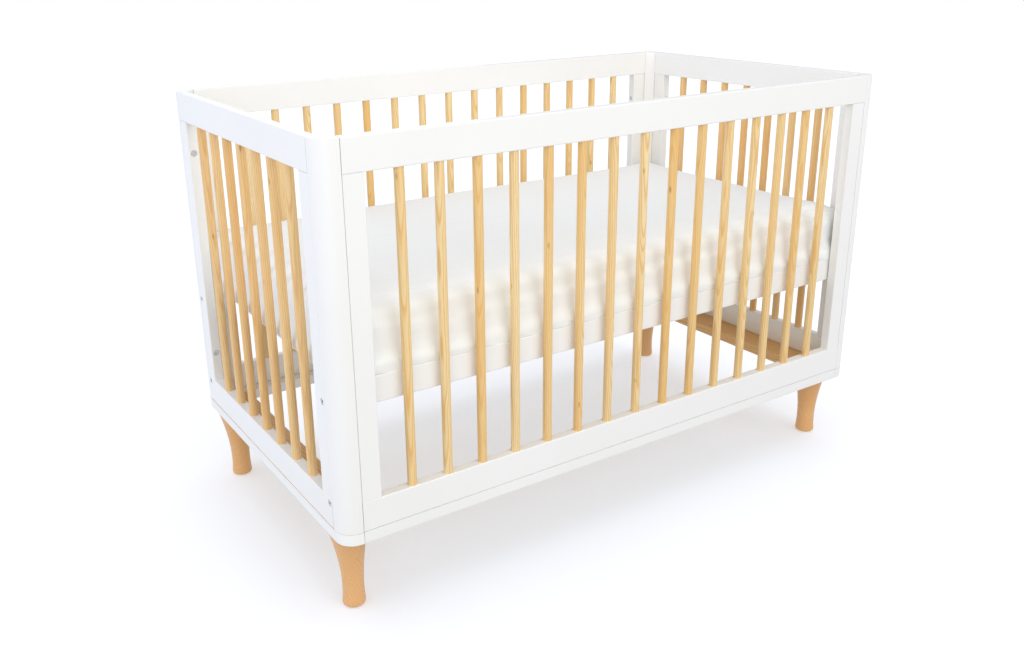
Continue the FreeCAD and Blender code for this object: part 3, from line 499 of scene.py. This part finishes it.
@dataclass(frozen=True)
class EdgedVeneer(Timber):
    """Oak veneer on a flat board, whose outer edge is sprayed with the frame's lacquer."""

    film: str = "#F6F6F3"
    edge_starts: float = 620 * MM
    steepest_top: float = 0.8

    def shade(self, tree: bpy.types.NodeTree, place: bpy.types.NodeSocket) -> bpy.types.Node:
        """Build the veneer, and the lacquer on the upright faces far from the middle.

        Args:
            tree: The material's node tree.
            place: The point on the piece, in metres.

        Returns:
            The shader node.
        """
        colour, height = self.colour(tree, place)
        facing = add(tree, "SeparateXYZ", {0: add(tree, "TexCoord").outputs["Normal"]})
        flatness = add(tree, "Math", {0: facing.outputs["Z"]}, operation="ABSOLUTE")
        upright = add(tree, "Math", {0: flatness.outputs[0], 1: self.steepest_top}, operation="LESS_THAN")
        split = add(tree, "SeparateXYZ", {0: place})
        reach = add(tree, "Math", {0: split.outputs["X"]}, operation="ABSOLUTE")
        outer = add(
            tree, "Math", {0: reach.outputs[0], 1: self.edge_starts}, operation="GREATER_THAN"
        )
        painted = add(
            tree, "Math", {0: upright.outputs[0], 1: outer.outputs[0]}, operation="MULTIPLY"
        )
        surface = add(
            tree,
            "Mix",
            {0: painted.outputs[0], 6: colour, 7: linear(self.film)},
            data_type="RGBA",
        )
        relief = add(tree, "Bump", {"Height": height, "Distance": self.fibre_depth})
        return add(
            tree,
            "BsdfPrincipled",
            {
                "Base Color": surface.outputs[2],
                "Roughness": self.roughness,
                "IOR": 1.5,
                "Normal": relief.outputs["Normal"],
            },
        )


@dataclass(frozen=True)
class PlatedSteel(Finish):
    """Steel with bright zinc plating: cool, a little cloudy, with fine turning marks."""

    plating: str = "#DDE0E3"
    cloudy: str = "#C6CACE"
    roughness: float = 0.3
    smoother: float = 0.08
    rougher: float = 0.12
    # Turning marks are about 0.1 mm wide, and are drawn at 0.5 mm so that they show close up.
    mark: float = 0.5 * MM
    mark_depth: float = 0.01 * MM

    def shade(self, tree: bpy.types.NodeTree, place: bpy.types.NodeSocket) -> bpy.types.Node:
        """Build the plating and its marks.

        Args:
            tree: The material's node tree.
            place: The point on the piece, in metres.

        Returns:
            The shader node.
        """
        marks = add(tree, "TexNoise", {"Vector": place, "Scale": 1 / self.mark, "Detail": 3.0})
        colour = add(
            tree,
            "Mix",
            {0: marks.outputs["Fac"], 6: linear(self.plating), 7: linear(self.cloudy)},
            data_type="RGBA",
        )
        gloss = add(
            tree,
            "MapRange",
            {"Value": marks.outputs["Fac"], "To Min": self.roughness - self.smoother,
             "To Max": self.roughness + self.rougher},
        )
        relief = add(tree, "Bump", {"Height": marks.outputs["Fac"], "Distance": self.mark_depth})
        return add(
            tree,
            "BsdfPrincipled",
            {
                "Base Color": colour.outputs[2],
                "Metallic": 1.0,
                "Roughness": gloss.outputs["Result"],
                "Normal": relief.outputs["Normal"],
            },
        )


@dataclass(frozen=True)
class MouldedPlastic(Finish):
    """Moulded polyethylene: matt and slightly waxy, with a sparked texture."""

    body: str = "#CFCAC2"
    sparked: str = "#C2BDB4"
    roughness: float = 0.55
    # The mould's sparked pits are about 0.3 mm wide, and are drawn at 0.8 mm so that they show.
    spark: float = 0.8 * MM
    spark_depth: float = 0.03 * MM

    def shade(self, tree: bpy.types.NodeTree, place: bpy.types.NodeSocket) -> bpy.types.Node:
        """Build the moulded surface.

        Args:
            tree: The material's node tree.
            place: The point on the piece, in metres.

        Returns:
            The shader node.
        """
        texture = add(tree, "TexNoise", {"Vector": place, "Scale": 1 / self.spark, "Detail": 2.0})
        colour = add(
            tree,
            "Mix",
            {0: texture.outputs["Fac"], 6: linear(self.body), 7: linear(self.sparked)},
            data_type="RGBA",
        )
        relief = add(tree, "Bump", {"Height": texture.outputs["Fac"], "Distance": self.spark_depth})
        return add(
            tree,
            "BsdfPrincipled",
            {
                "Base Color": colour.outputs[2],
                "Roughness": self.roughness,
                "IOR": 1.51,
                "Normal": relief.outputs["Normal"],
            },
        )


@dataclass(frozen=True)
class CottonSheet(Finish):
    """Woven cotton, washed and stretched: soft sheen, fine ribs, faint pulls along its length."""

    thread: str = "#F5F7F4"
    shadow_thread: str = "#EFF1EE"
    # Threads lie 0.3 mm apart, and are drawn as ribs 8.2 mm apart so that they show.
    rib: float = 8.168 * MM
    rib_waver: float = 0.6
    rib_share: float = 0.35
    weave_depth: float = 0.03 * MM
    pull: float = 11 * MM
    pull_length: float = 300 * MM
    pull_depth: float = 0.35 * MM

    def shade(self, tree: bpy.types.NodeTree, place: bpy.types.NodeSocket) -> bpy.types.Node:
        """Build the weave, and the pulls that run lengthwise in the stretched cloth.

        Args:
            tree: The material's node tree.
            place: The point on the piece, in metres.

        Returns:
            The shader node.
        """
        along, across = (
            add(
                tree,
                "TexWave",
                {"Vector": place, "Scale": 2 * math.pi / (WAVE_ANGLE * self.rib),
                 "Distortion": self.rib_waver, "Detail": 1.0},
                bands_direction=axis,
            ).outputs["Fac"]
            for axis in ("X", "Y")
        )
        weave = add(tree, "Math", {0: along, 1: across}, operation="MULTIPLY").outputs[0]
        stretched = add(
            tree,
            "Mapping",
            {"Vector": place, "Scale": (1 / self.pull_length, 1 / self.pull, 1 / self.pull)},
        )
        pulls = add(
            tree, "TexNoise", {"Vector": stretched.outputs[0], "Scale": 1.0, "Detail": 3.0}
        )
        mixed = add(
            tree,
            "Math",
            {0: weave, 1: self.rib_share, 2: pulls.outputs["Fac"]},
            operation="MULTIPLY_ADD",
        )
        colour = add(
            tree,
            "Mix",
            {0: mixed.outputs[0], 6: linear(self.shadow_thread), 7: linear(self.thread)},
            data_type="RGBA",
        )
        fine = add(tree, "Bump", {"Height": weave, "Distance": self.weave_depth})
        relief = add(
            tree,
            "Bump",
            {"Height": pulls.outputs["Fac"], "Distance": self.pull_depth,
             "Normal": fine.outputs["Normal"]},
        )
        return add(
            tree,
            "BsdfPrincipled",
            {
                "Base Color": colour.outputs[2],
                "Roughness": 0.85,
                "IOR": 1.45,
                "Sheen Weight": 0.25,
                "Sheen Roughness": 0.5,
                "Normal": relief.outputs["Normal"],
            },
        )


@dataclass(frozen=True)
class StudioFloor(Finish):
    """A lit white studio floor: matt, glowing from below, so that shadows on it stay pale."""

    paint: str = "#D8DDE5"
    mottle: str = "#D6DBE3"
    glow: float = 0.41
    clouds_per_metre: float = 1.5

    def shade(self, tree: bpy.types.NodeTree, place: bpy.types.NodeSocket) -> bpy.types.Node:
        """Build the floor paint and its glow.

        Args:
            tree: The material's node tree.
            place: The point on the piece, in metres.

        Returns:
            The shader node.
        """
        clouds = add(tree, "TexNoise", {"Vector": place, "Scale": self.clouds_per_metre, "Detail": 2.0})
        colour = add(
            tree,
            "Mix",
            {0: clouds.outputs["Fac"], 6: linear(self.mottle), 7: linear(self.paint)},
            data_type="RGBA",
        )
        return add(
            tree,
            "BsdfPrincipled",
            {
                "Base Color": colour.outputs[2],
                "Roughness": 0.9,
                "Specular IOR Level": 0.0,
                "Emission Color": linear("#FFFFFF"),
                "Emission Strength": self.glow,
            },
        )


def dress(nodes: Iterable[str], finish: Finish) -> None:
    """Give CAD nodes a finish.

    Args:
        nodes: The nodes' names.
        finish: What their surface is.
    """
    material = finish.material()
    for name in nodes:
        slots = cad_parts[name].data.materials
        slots.clear()
        slots.append(material)
        LOG.info("%s: %s", name, finish.name)


def row_between(node: str, axis: int, piece: float, count: int) -> Row:
    """Work out the row that a node's alike pieces stand in.

    Args:
        node: The CAD node that holds the pieces.
        axis: The direction of the row, 0 for X and 1 for Y.
        piece: The size of one piece along the row.
        count: How many pieces stand in the row.

    Returns:
        The first piece's middle and the step to the next.
    """
    low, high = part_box(node)
    start = low[axis] + piece / 2
    return Row(start, (high[axis] - piece / 2 - start) / (count - 1))


def row_across(node: str, axis: int) -> Row:
    """Work out the row for two pieces at the ends of a node's box.

    Args:
        node: The CAD node that reaches over both pieces.
        axis: The direction of the row, 0 for X and 1 for Y.

    Returns:
        The first piece's place and the step to the second.
    """
    low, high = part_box(node)
    return Row(low[axis], high[axis] - low[axis])


# ---------------------------------------------------------------- the crib's sub-assemblies


@dataclass
class Panels:
    """The four spindle panels and the corner posts between them."""

    sides: Sequence[str] = ("front", "rear")
    ends: Sequence[str] = ("left", "right")
    long_count: int = 15
    short_count: int = 7

    def painted(self) -> list[str]:
        """Return the names of the lacquered rails, stiles and posts."""
        return [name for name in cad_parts
                if name.endswith(("_rail", "_stile", "_post")) and "bed_" not in name]

    def spindle_timber(self, name: str, **changes: Any) -> Timber:
        """Describe the spindles' timber, with a tone of its own for each spindle.

        Args:
            name: The finish's name.
            **changes: Fields that differ from the usual ones.

        Returns:
            The finish.
        """
        low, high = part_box("front_spindles")
        across = high.y - low.y
        return Timber(
            name,
            lean=2.2,
            row_x=row_between("front_spindles", 0, across, self.long_count),
            row_y=row_between("left_spindles", 1, across, self.short_count),
            **changes,
        )

    def dress(self) -> None:
        """Lacquer the frame white, and leave the spindles clear."""
        dress(self.painted(), Lacquer("Beech, sprayed with white satin lacquer"))
        # Ash sapwood is cream coloured, with long rings that stand out.
        pale = self.spindle_timber("Ash, turned and clear lacquered")
        dress([side + "_spindles" for side in self.sides], pale)
        # The end spindles get a browner, more even copy of the same ash: painted shade, for the shade and
        # warm bounce that fall on the ends.
        shaded_end_timber = self.spindle_timber(
            "Ash, turned and clear lacquered, darkened as painted shade",
            early_wood="#F2D196",
            late_wood="#CB8C40",
            deep_tint="#DD9F4C",
            ring_share=0.36,
            wander=3 * MM,
        )
        dress([end + "_spindles" for end in self.ends], shaded_end_timber)


@dataclass
class Base:
    """The base boards, the turned legs and their glides."""

    ends: Sequence[str] = ("left", "right")

    def dress(self) -> None:
        """Veneer the boards, and finish the legs and glides."""
        # Oak veneer is tan, with straight wide rings along the board.
        veneer = EdgedVeneer(
            "Oak veneer, clear lacquered",
            early_wood="#F2C480",
            late_wood="#C08C58",
            deep_tint="#DBA566",
            ring=5 * MM,
            grain=Grain.ALONG_Y,
            lean=4,
            roughness=0.45,
        )
        # Rubberwood is an even orange brown, with short dark pores and hardly a ring.
        legs = Timber(
            "Rubberwood, turned and clear lacquered",
            early_wood="#EDBA7D",
            late_wood="#BC7A3B",
            deep_tint="#DB9E5A",
            ring=6 * MM,
            ring_share=0.16,
            wander=9 * MM,
            wander_length=50 * MM,
            fibre=1.6 * MM,
            fibre_length=8 * MM,
            lean=52,
            row_x=row_across("foot_glides", 0),
            row_y=row_across("foot_glides", 1),
            piece_contrast=0.35,
        )
        dress([end + "_base_board" for end in self.ends], veneer)
        dress([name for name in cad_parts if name.endswith("_leg")], legs)
        dress(["foot_glides"], MouldedPlastic("Polyethylene, moulded"))


@dataclass
class BedBase:
    """The mattress base: lacquered rails, bare ledgers and slats."""

    slat_count: int = 12
    slat_width: float = 60 * MM

    def dress(self) -> None:
        """Lacquer the rails, and leave the timber under the mattress bare."""
        rails = [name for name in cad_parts
                 if name.startswith("bed_") and name.endswith("_rail")]
        dress(rails, Lacquer("Pine, sprayed with white satin lacquer", roughness=0.42))
        # Planed timber without a finish is paler, greyer and matt.
        bare = dict(
            early_wood="#EBD6AC",
            late_wood="#CFA872",
            deep_tint="#DDBE8C",
            coat=0.0,
            roughness=0.62,
        )
        slats = Timber(
            "Poplar, planed and left bare",
            grain=Grain.ALONG_Y,
            row_x=row_between("bed_slats", 0, self.slat_width, self.slat_count),
            ring=6 * MM,
            **bare,
        )
        dress(["bed_slats"], slats)
        lengthwise = Timber(
            "Pine, planed and left bare", grain=Grain.ALONG_X, ring=5 * MM, **bare
        )
        dress(["bed_front_ledger", "bed_rear_ledger"], lengthwise)


@dataclass
class Fittings:
    """The bolts, screws, inserts and dowels."""

    steel_kinds: tuple[str, ...] = ("_bolts", "_screws", "_inserts")
    dowel_ring: float = 2 * MM

    def dress(self) -> None:
        """Plate the steel, and leave the dowels as bare timber."""
        steel = [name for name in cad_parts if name.endswith(self.steel_kinds)]
        dress(steel, PlatedSteel("Steel, bright zinc plated"))
        dowels = [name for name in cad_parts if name.endswith("_dowels")]
        milled = Timber("Beech, milled into dowels", roughness=0.6, coat=0.0, ring=self.dowel_ring)
        dress(dowels, milled)


def settle(piece: bpy.types.Object) -> None:
    """Turn a piece's modifiers into its mesh.

    Args:
        piece: The object to settle.
    """
    graph = bpy.context.evaluated_depsgraph_get()
    settled = bpy.data.meshes.new_from_object(piece.evaluated_get(graph))
    piece.modifiers.clear()
    piece.data = settled


@dataclass(frozen=True)
class SidePlace:
    """A place on one of the mattress's four upright sides."""

    side: int
    signs: tuple[float, float]
    across: float
    height: float
    corner: float


@dataclass
class Mattress:
    """The mattress in its fitted sheet, blown up a little by a cloth simulation."""

    node: str = "mattress"
    body: str = "mattress"
    voxel: float = 6 * MM
    inset: float = 2.5 * MM
    solid_corner: float = 26 * MM
    solid_edge: float = 20 * MM
    corner_tightness: float = 0.3
    edge_tightness: float = 0.95
    rim_starts: float = 0.9
    pressure: float = 3.0
    compression_stiffness: float = 5.0
    bending_stiffness: float = 0.3
    slack: float = 0.012
    quality_steps: int = 4
    last_frame: int = 20
    most_bulge: float = 4 * MM
    bottom_band: float = 6 * MM
    face_depth: float = 14 * MM
    hem_height: float = 26 * MM
    hem_flare: float = 14 * MM
    hem_sway: float = 3 * MM
    hem_drop: float = 1.2 * MM
    pucker_depth: float = 3 * MM
    pucker_width: float = 45 * MM
    pucker_height: float = 60 * MM
    gathers: float = 13.0
    gather_depth: float = 3.2 * MM
    gather_reach: float = 65 * MM
    gather_start: float = 15 * MM
    gather_centre: float = 4 * MM
    gather_twist: float = 2.2
    twist_length: float = 50 * MM
    fold_depth: float = 1.5 * MM
    fold_width: float = 100 * MM
    fold_height: float = 120 * MM
    fold_reach: float = 350 * MM
    fold_slant: float = 0.8
    hang_depth: float = 7 * MM
    hang_width: float = 32 * MM
    hang_height: float = 250 * MM
    hang_top: float = 0.8
    reach: float = 10.5 * MM

    def build(self) -> bpy.types.Object:
        """Make the sheet's mesh, fill it, and crease it.

        Returns:
            The mattress as a new object.
        """
        low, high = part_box(self.node)
        piece = self.shell(low, high)
        self.fill(piece, low)
        self.crease(piece, low, high)
        piece.data.materials.clear()
        piece.data.materials.append(CottonSheet("Cotton percale, woven and washed").material())
        piece.data.polygons.foreach_set("use_smooth", [True] * len(piece.data.polygons))
        smooth = piece.modifiers.new("Subdivision", "SUBSURF")
        smooth.levels = 1
        smooth.render_levels = 1
        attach(piece, self.body)
        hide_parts(self.node)
        LOG.info("%s: %d faces", piece.name, len(piece.data.polygons))
        return piece

    def shell(self, low: Vector, high: Vector) -> bpy.types.Object:
        """Remesh the mattress's plain solid into small even faces.

        Its upright corners and its lower edge are made tighter than on the solid.

        Args:
            low: The lowest corner of the solid.
            high: The highest corner of the solid.

        Returns:
            The shell, a little smaller than the solid at its sides and top.
        """
        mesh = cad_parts[self.node].data.copy()
        piece = bpy.data.objects.new("mattress_in_fitted_sheet", mesh)
        bpy.context.scene.collection.objects.link(piece)
        remesh = piece.modifiers.new("Remesh", "REMESH")
        remesh.mode = "VOXEL"
        remesh.voxel_size = self.voxel
        settle(piece)
        middle = (low + high) / 2
        half = (high - low) / 2
        for vertex in piece.data.vertices:
            offset = vertex.co - middle
            self.tighten(offset, half)
            for axis in (0, 1):
                offset[axis] *= 1 - self.inset / half[axis]
            offset.z -= self.inset * max(0.0, offset.z) / half.z
            vertex.co = middle + offset
        return piece

    def tighten(self, offset: Vector, half: Vector) -> None:
        """Move a point out where it lies on a rounded upright corner or on the lower edge.

        Args:
            offset: The point, from the middle of the solid, which is changed.
            half: Half the size of the solid.
        """
        reach = [half[axis] - self.solid_corner for axis in (0, 1)]
        past = [abs(offset[axis]) - reach[axis] for axis in (0, 1)]
        if min(past) > 0:
            square = math.hypot(*past) / max(past)
            grow = 1 + (square - 1) * self.corner_tightness
            for axis in (0, 1):
                offset[axis] = math.copysign(reach[axis] + past[axis] * grow, offset[axis])
        above = offset.z + half.z
        if above < self.solid_edge:
            drop = self.solid_edge - above
            undercut = self.solid_edge - math.sqrt(max(0.0, self.solid_edge**2 - drop**2))
            outline = max(abs(offset.x) / half.x, abs(offset.y) / half.y)
            if outline > self.rim_starts:
                for axis in (0, 1):
                    if half[axis] - abs(offset[axis]) < undercut + self.solid_edge / 2:
                        push = undercut * self.edge_tightness
                        offset[axis] += math.copysign(push, offset[axis])

    def fill(self, piece: bpy.types.Object, low: Vector) -> None:
        """Blow the sheet up as the foam fills it, with its underside held on the slats.

        Args:
            piece: The shell to fill.
            low: The lowest corner of the plain solid.
        """
        before = [vertex.co.copy() for vertex in piece.data.vertices]
        held = piece.vertex_groups.new(name="underside")
        resting = [vertex.index for vertex in piece.data.vertices
                   if vertex.co.z < low.z + self.bottom_band]
        held.add(resting, 1.0, "REPLACE")
        cloth = piece.modifiers.new("Cloth", "CLOTH")
        cloth.settings.quality = self.quality_steps
        cloth.settings.use_pressure = True
        cloth.settings.uniform_pressure_force = self.pressure
        cloth.settings.effector_weights.gravity = 0.0
        cloth.settings.vertex_group_mass = held.name
        cloth.settings.compression_stiffness = self.compression_stiffness
        cloth.settings.bending_stiffness = self.bending_stiffness
        cloth.settings.shrink_min = -self.slack
        cloth.point_cache.frame_end = self.last_frame
        for step in range(1, self.last_frame + 1):
            bpy.context.scene.frame_set(step)
        settle(piece)
        bpy.context.scene.frame_set(1)
        for vertex, start in zip(piece.data.vertices, before):
            moved = vertex.co - start
            if moved.length > self.most_bulge:
                vertex.co = start + moved.normalized() * self.most_bulge

    def pucker(self, spot: SidePlace) -> float:
        """Work out how much the hem's elastic puckers the cloth at a place.

        Args:
            spot: The place on the mattress's side.

        Returns:
            A number from about minus one to one.
        """
        seed = 3 * spot.signs[0] + 7 * spot.side
        return noise.noise(
            Vector((spot.across / self.pucker_width, spot.height / self.pucker_height, seed))
        )

    def gather(self, spot: SidePlace) -> float:
        """Work out the gathers that fan out from a lower corner.

        Args:
            spot: The place on the mattress's side.

        Returns:
            How far they push the cloth out.
        """
        ray = math.atan2(spot.height, spot.corner + self.gather_centre)
        far = math.hypot(spot.height, spot.corner)
        seed = 5 * spot.signs[0] + 11 * spot.signs[1] + spot.side
        twist = noise.noise(Vector((far / self.twist_length, ray, seed)))
        wave = math.sin(self.gathers * ray + self.gather_twist * twist)
        fading = math.exp(-((far / self.gather_reach) ** 2))
        return self.gather_depth * wave * fading * min(1.0, far / self.gather_start)

    def fold(self, spot: SidePlace) -> float:
        """Work out the slanting folds that the corners pull into the sides.

        Args:
            spot: The place on the mattress's side.

        Returns:
            How far they push the cloth out.
        """
        slanted = spot.across + self.fold_slant * spot.height
        fold = noise.noise(
            Vector((slanted / self.fold_width, spot.height / self.fold_height, 17.0 + spot.side))
        )
        return self.fold_depth * max(0.0, fold) * math.exp(-((spot.corner / self.fold_reach) ** 2))

    def hang(self, spot: SidePlace, thickness: float) -> float:
        """Work out the upright folds that hang down the two ends.

        Args:
            spot: The place on the mattress's side.
            thickness: The mattress's thickness.

        Returns:
            How far they push the cloth out or in.
        """
        if spot.side == 1:
            return 0.0
        hang = noise.noise(
            Vector((spot.across / self.hang_width, spot.height / self.hang_height,
                    29.0 + spot.signs[0]))
        )
        return self.hang_depth * hang * max(0.0, 1 - spot.height / (self.hang_top * thickness))

    def crease(self, piece: bpy.types.Object, low: Vector, high: Vector) -> None:
        """Pucker the sheet's hem, and gather and fold its sides.

        Args:
            piece: The filled sheet.
            low: The lowest corner of the plain solid.
            high: The highest corner of the plain solid.
        """
        middle = (low + high) / 2
        half = (high - low) / 2
        for vertex in piece.data.vertices:
            offset = vertex.co - middle
            gaps = [half[axis] - abs(offset[axis]) for axis in (0, 1)]
            side = 0 if gaps[0] < gaps[1] else 1
            if gaps[side] > self.face_depth:
                continue
            spot = SidePlace(
                side=side,
                signs=(math.copysign(1, offset.x), math.copysign(1, offset.y)),
                across=offset[1 - side],
                height=max(0.0, vertex.co.z - low.z),
                corner=gaps[1 - side],
            )
            low_down = math.exp(-((spot.height / self.hem_height) ** 2))
            pucker = self.pucker(spot)
            depth = (
                low_down * (self.hem_flare + self.pucker_depth * pucker)
                + self.gather(spot)
                + self.fold(spot)
                + self.hang(spot, 2 * half.z)
            )
            sway = self.hem_sway * max(0.0, pucker) * low_down
            moved = min(depth, self.reach + gaps[side] - sway)
            vertex.co[side] += spot.signs[side] * moved
            if moved - gaps[side] > self.reach / 2:
                vertex.co.z -= self.hem_drop * math.exp(-((spot.height / self.bottom_band) ** 2))


# ---------------------------------------------------------------- the studio


class LampKind(Enum):
    """How a lamp lights the crib: evenly from afar, or as a near panel."""

    FAR = "SUN"
    PANEL = "AREA"


@dataclass(frozen=True)
class Lamp:
    """A soft lamp that faces the crib.

    A far lamp's power is its strength, and its size the angle that it fills in degrees. A panel's power is
    in watts, and its size is its side in metres.
    """

    name: str
    kind: LampKind
    place: tuple[float, float, float]
    power: float
    colour: str
    size: float

    def hang(self, shines_on: bpy.types.Collection | None = None) -> None:
        """Hang the lamp and turn it to the crib.

        Args:
            shines_on: What it lights, or nothing where it lights everything.
        """
        data = bpy.data.lights.new(self.name, self.kind.value)
        data.energy = self.power
        data.color = linear(self.colour)[:3]
        if self.kind is LampKind.FAR:
            data.angle = math.radians(self.size)
        else:
            data.size = self.size
        lamp = bpy.data.objects.new(self.name, data)
        if shines_on is not None:
            lamp.light_linking.receiver_collection = shines_on
        bpy.context.scene.collection.objects.link(lamp)
        low, high = CAD_BOX
        place = Vector(self.place)
        aim = (Vector(low) + Vector(high)) / 2 - place
        turn = aim.to_track_quat("-Z", "Y").to_matrix().to_4x4()
        lamp.matrix_world = Matrix.Translation(place) @ turn


@dataclass
class Studio:
    """A white floor, soft light and the camera."""

    floor_size: float = 40.0
    camera_place: tuple[float, float, float] = (-1.2936, -1.8035, 1.1781)
    heading: float = 33.05
    tilt_down: float = 19.13
    roll: float = -0.76
    lens: float = 34.65
    film_width: float = 36.0
    farthest: float = 50.0
    shift: tuple[float, float] = (0.0203, -0.0285)
    ambient_below: float = 0.50
    ambient_above: float = 0.79
    ambient_colour: str = "#F8F9FF"
    key: Lamp = Lamp("key", LampKind.FAR, (0.9, -4.2, 3.2), 0.35, "#FFFDFA", 45.0)
    overhead: Lamp = Lamp("overhead", LampKind.FAR, (0.0, 0.0, 6.0), 0.65, "#FFFFFF", 70.0)
    panels: tuple[Lamp, ...] = (
        Lamp("front", LampKind.PANEL, (0.2, -2.0, 2.3), 20.0, "#FFFDFA", 2.2),
        Lamp("corner", LampKind.PANEL, (-2.6, -2.6, 1.6), 24.0, "#FFFCF6", 2.4),
        Lamp("left", LampKind.PANEL, (-4.0, 0.6, 2.0), 46.0, "#DBE6FF", 2.0),
        Lamp("rear", LampKind.PANEL, (0.8, 3.6, 1.6), 12.0, "#FFFFFF", 2.5),
    )
    all_but_floor: bpy.types.Collection = field(init=False)
    floor_alone: bpy.types.Collection = field(init=False)

    def __post_init__(self) -> None:
        """Start the groups that say what a lamp shines on."""
        self.all_but_floor = bpy.data.collections.new("all_but_floor")
        self.floor_alone = bpy.data.collections.new("floor_alone")

    def floor(self) -> None:
        """Lay the floor under the crib."""
        mesh = bpy.data.meshes.new("floor")
        edge = self.floor_size / 2
        corners = [(-edge, -edge, 0), (edge, -edge, 0), (edge, edge, 0), (-edge, edge, 0)]
        mesh.from_pydata(corners, [], [(0, 1, 2, 3)])
        piece = bpy.data.objects.new("floor", mesh)
        bpy.context.scene.collection.objects.link(piece)
        mesh.materials.append(StudioFloor("Floor, painted matt white").material())
        piece.visible_diffuse = False
        for group, state in ((self.all_but_floor, "EXCLUDE"), (self.floor_alone, "INCLUDE")):
            group.objects.link(piece)
            group.collection_objects[0].light_linking.link_state = state

    def light(self) -> None:
        """Light the crib from all round, and the floor from above."""
        world = bpy.data.worlds.new("studio")
        world.use_nodes = True
        tree = world.node_tree
        tree.nodes.clear()
        height = add(tree, "SeparateXYZ", {0: add(tree, "TexCoord").outputs["Generated"]})
        strength = add(
            tree,
            "MapRange",
            {"Value": height.outputs["Z"], "From Min": -1.0, "To Min": self.ambient_below,
             "To Max": self.ambient_above},
        )
        glow = add(
            tree,
            "Background",
            {"Color": linear(self.ambient_colour), "Strength": strength.outputs["Result"]},
        )
        seen = add(tree, "Background", {"Color": linear("#FFFFFF"), "Strength": 1.0})
        both = add(
            tree,
            "MixShader",
            {0: add(tree, "LightPath").outputs["Is Camera Ray"], 1: glow.outputs[0],
             2: seen.outputs[0]},
        )
        add(tree, "OutputWorld", {"Surface": both.outputs[0]})
        bpy.context.scene.world = world
        self.key.hang()
        self.overhead.hang(self.floor_alone)
        for panel in self.panels:
            panel.hang(self.all_but_floor)
        bpy.context.scene.view_settings.view_transform = "Standard"

    def camera(self) -> None:
        """Set the camera up in front of the crib's left front corner."""
        data = bpy.data.cameras.new("camera")
        data.sensor_width = self.film_width
        data.lens = self.lens
        data.shift_x, data.shift_y = self.shift
        data.clip_end = self.farthest
        camera = bpy.data.objects.new("camera", data)
        bpy.context.scene.collection.objects.link(camera)
        aim = Euler((math.radians(90 - self.tilt_down), 0, -math.radians(self.heading)))
        spin = Matrix.Rotation(math.radians(self.roll), 4, "Z")
        place = Matrix.Translation(Vector(self.camera_place))
        camera.matrix_world = place @ aim.to_matrix().to_4x4() @ spin
        bpy.context.scene.camera = camera


def main() -> None:
    """Build the studio, then dress the crib's sub-assemblies in order."""
    logging.basicConfig(level=logging.INFO, format="%(message)s")
    studio = Studio()
    studio.camera()
    studio.floor()
    studio.light()
    for assembly in (Panels(), Base(), BedBase(), Fittings()):
        assembly.dress()
    Mattress().build()


if __name__ == "__main__":
    main()
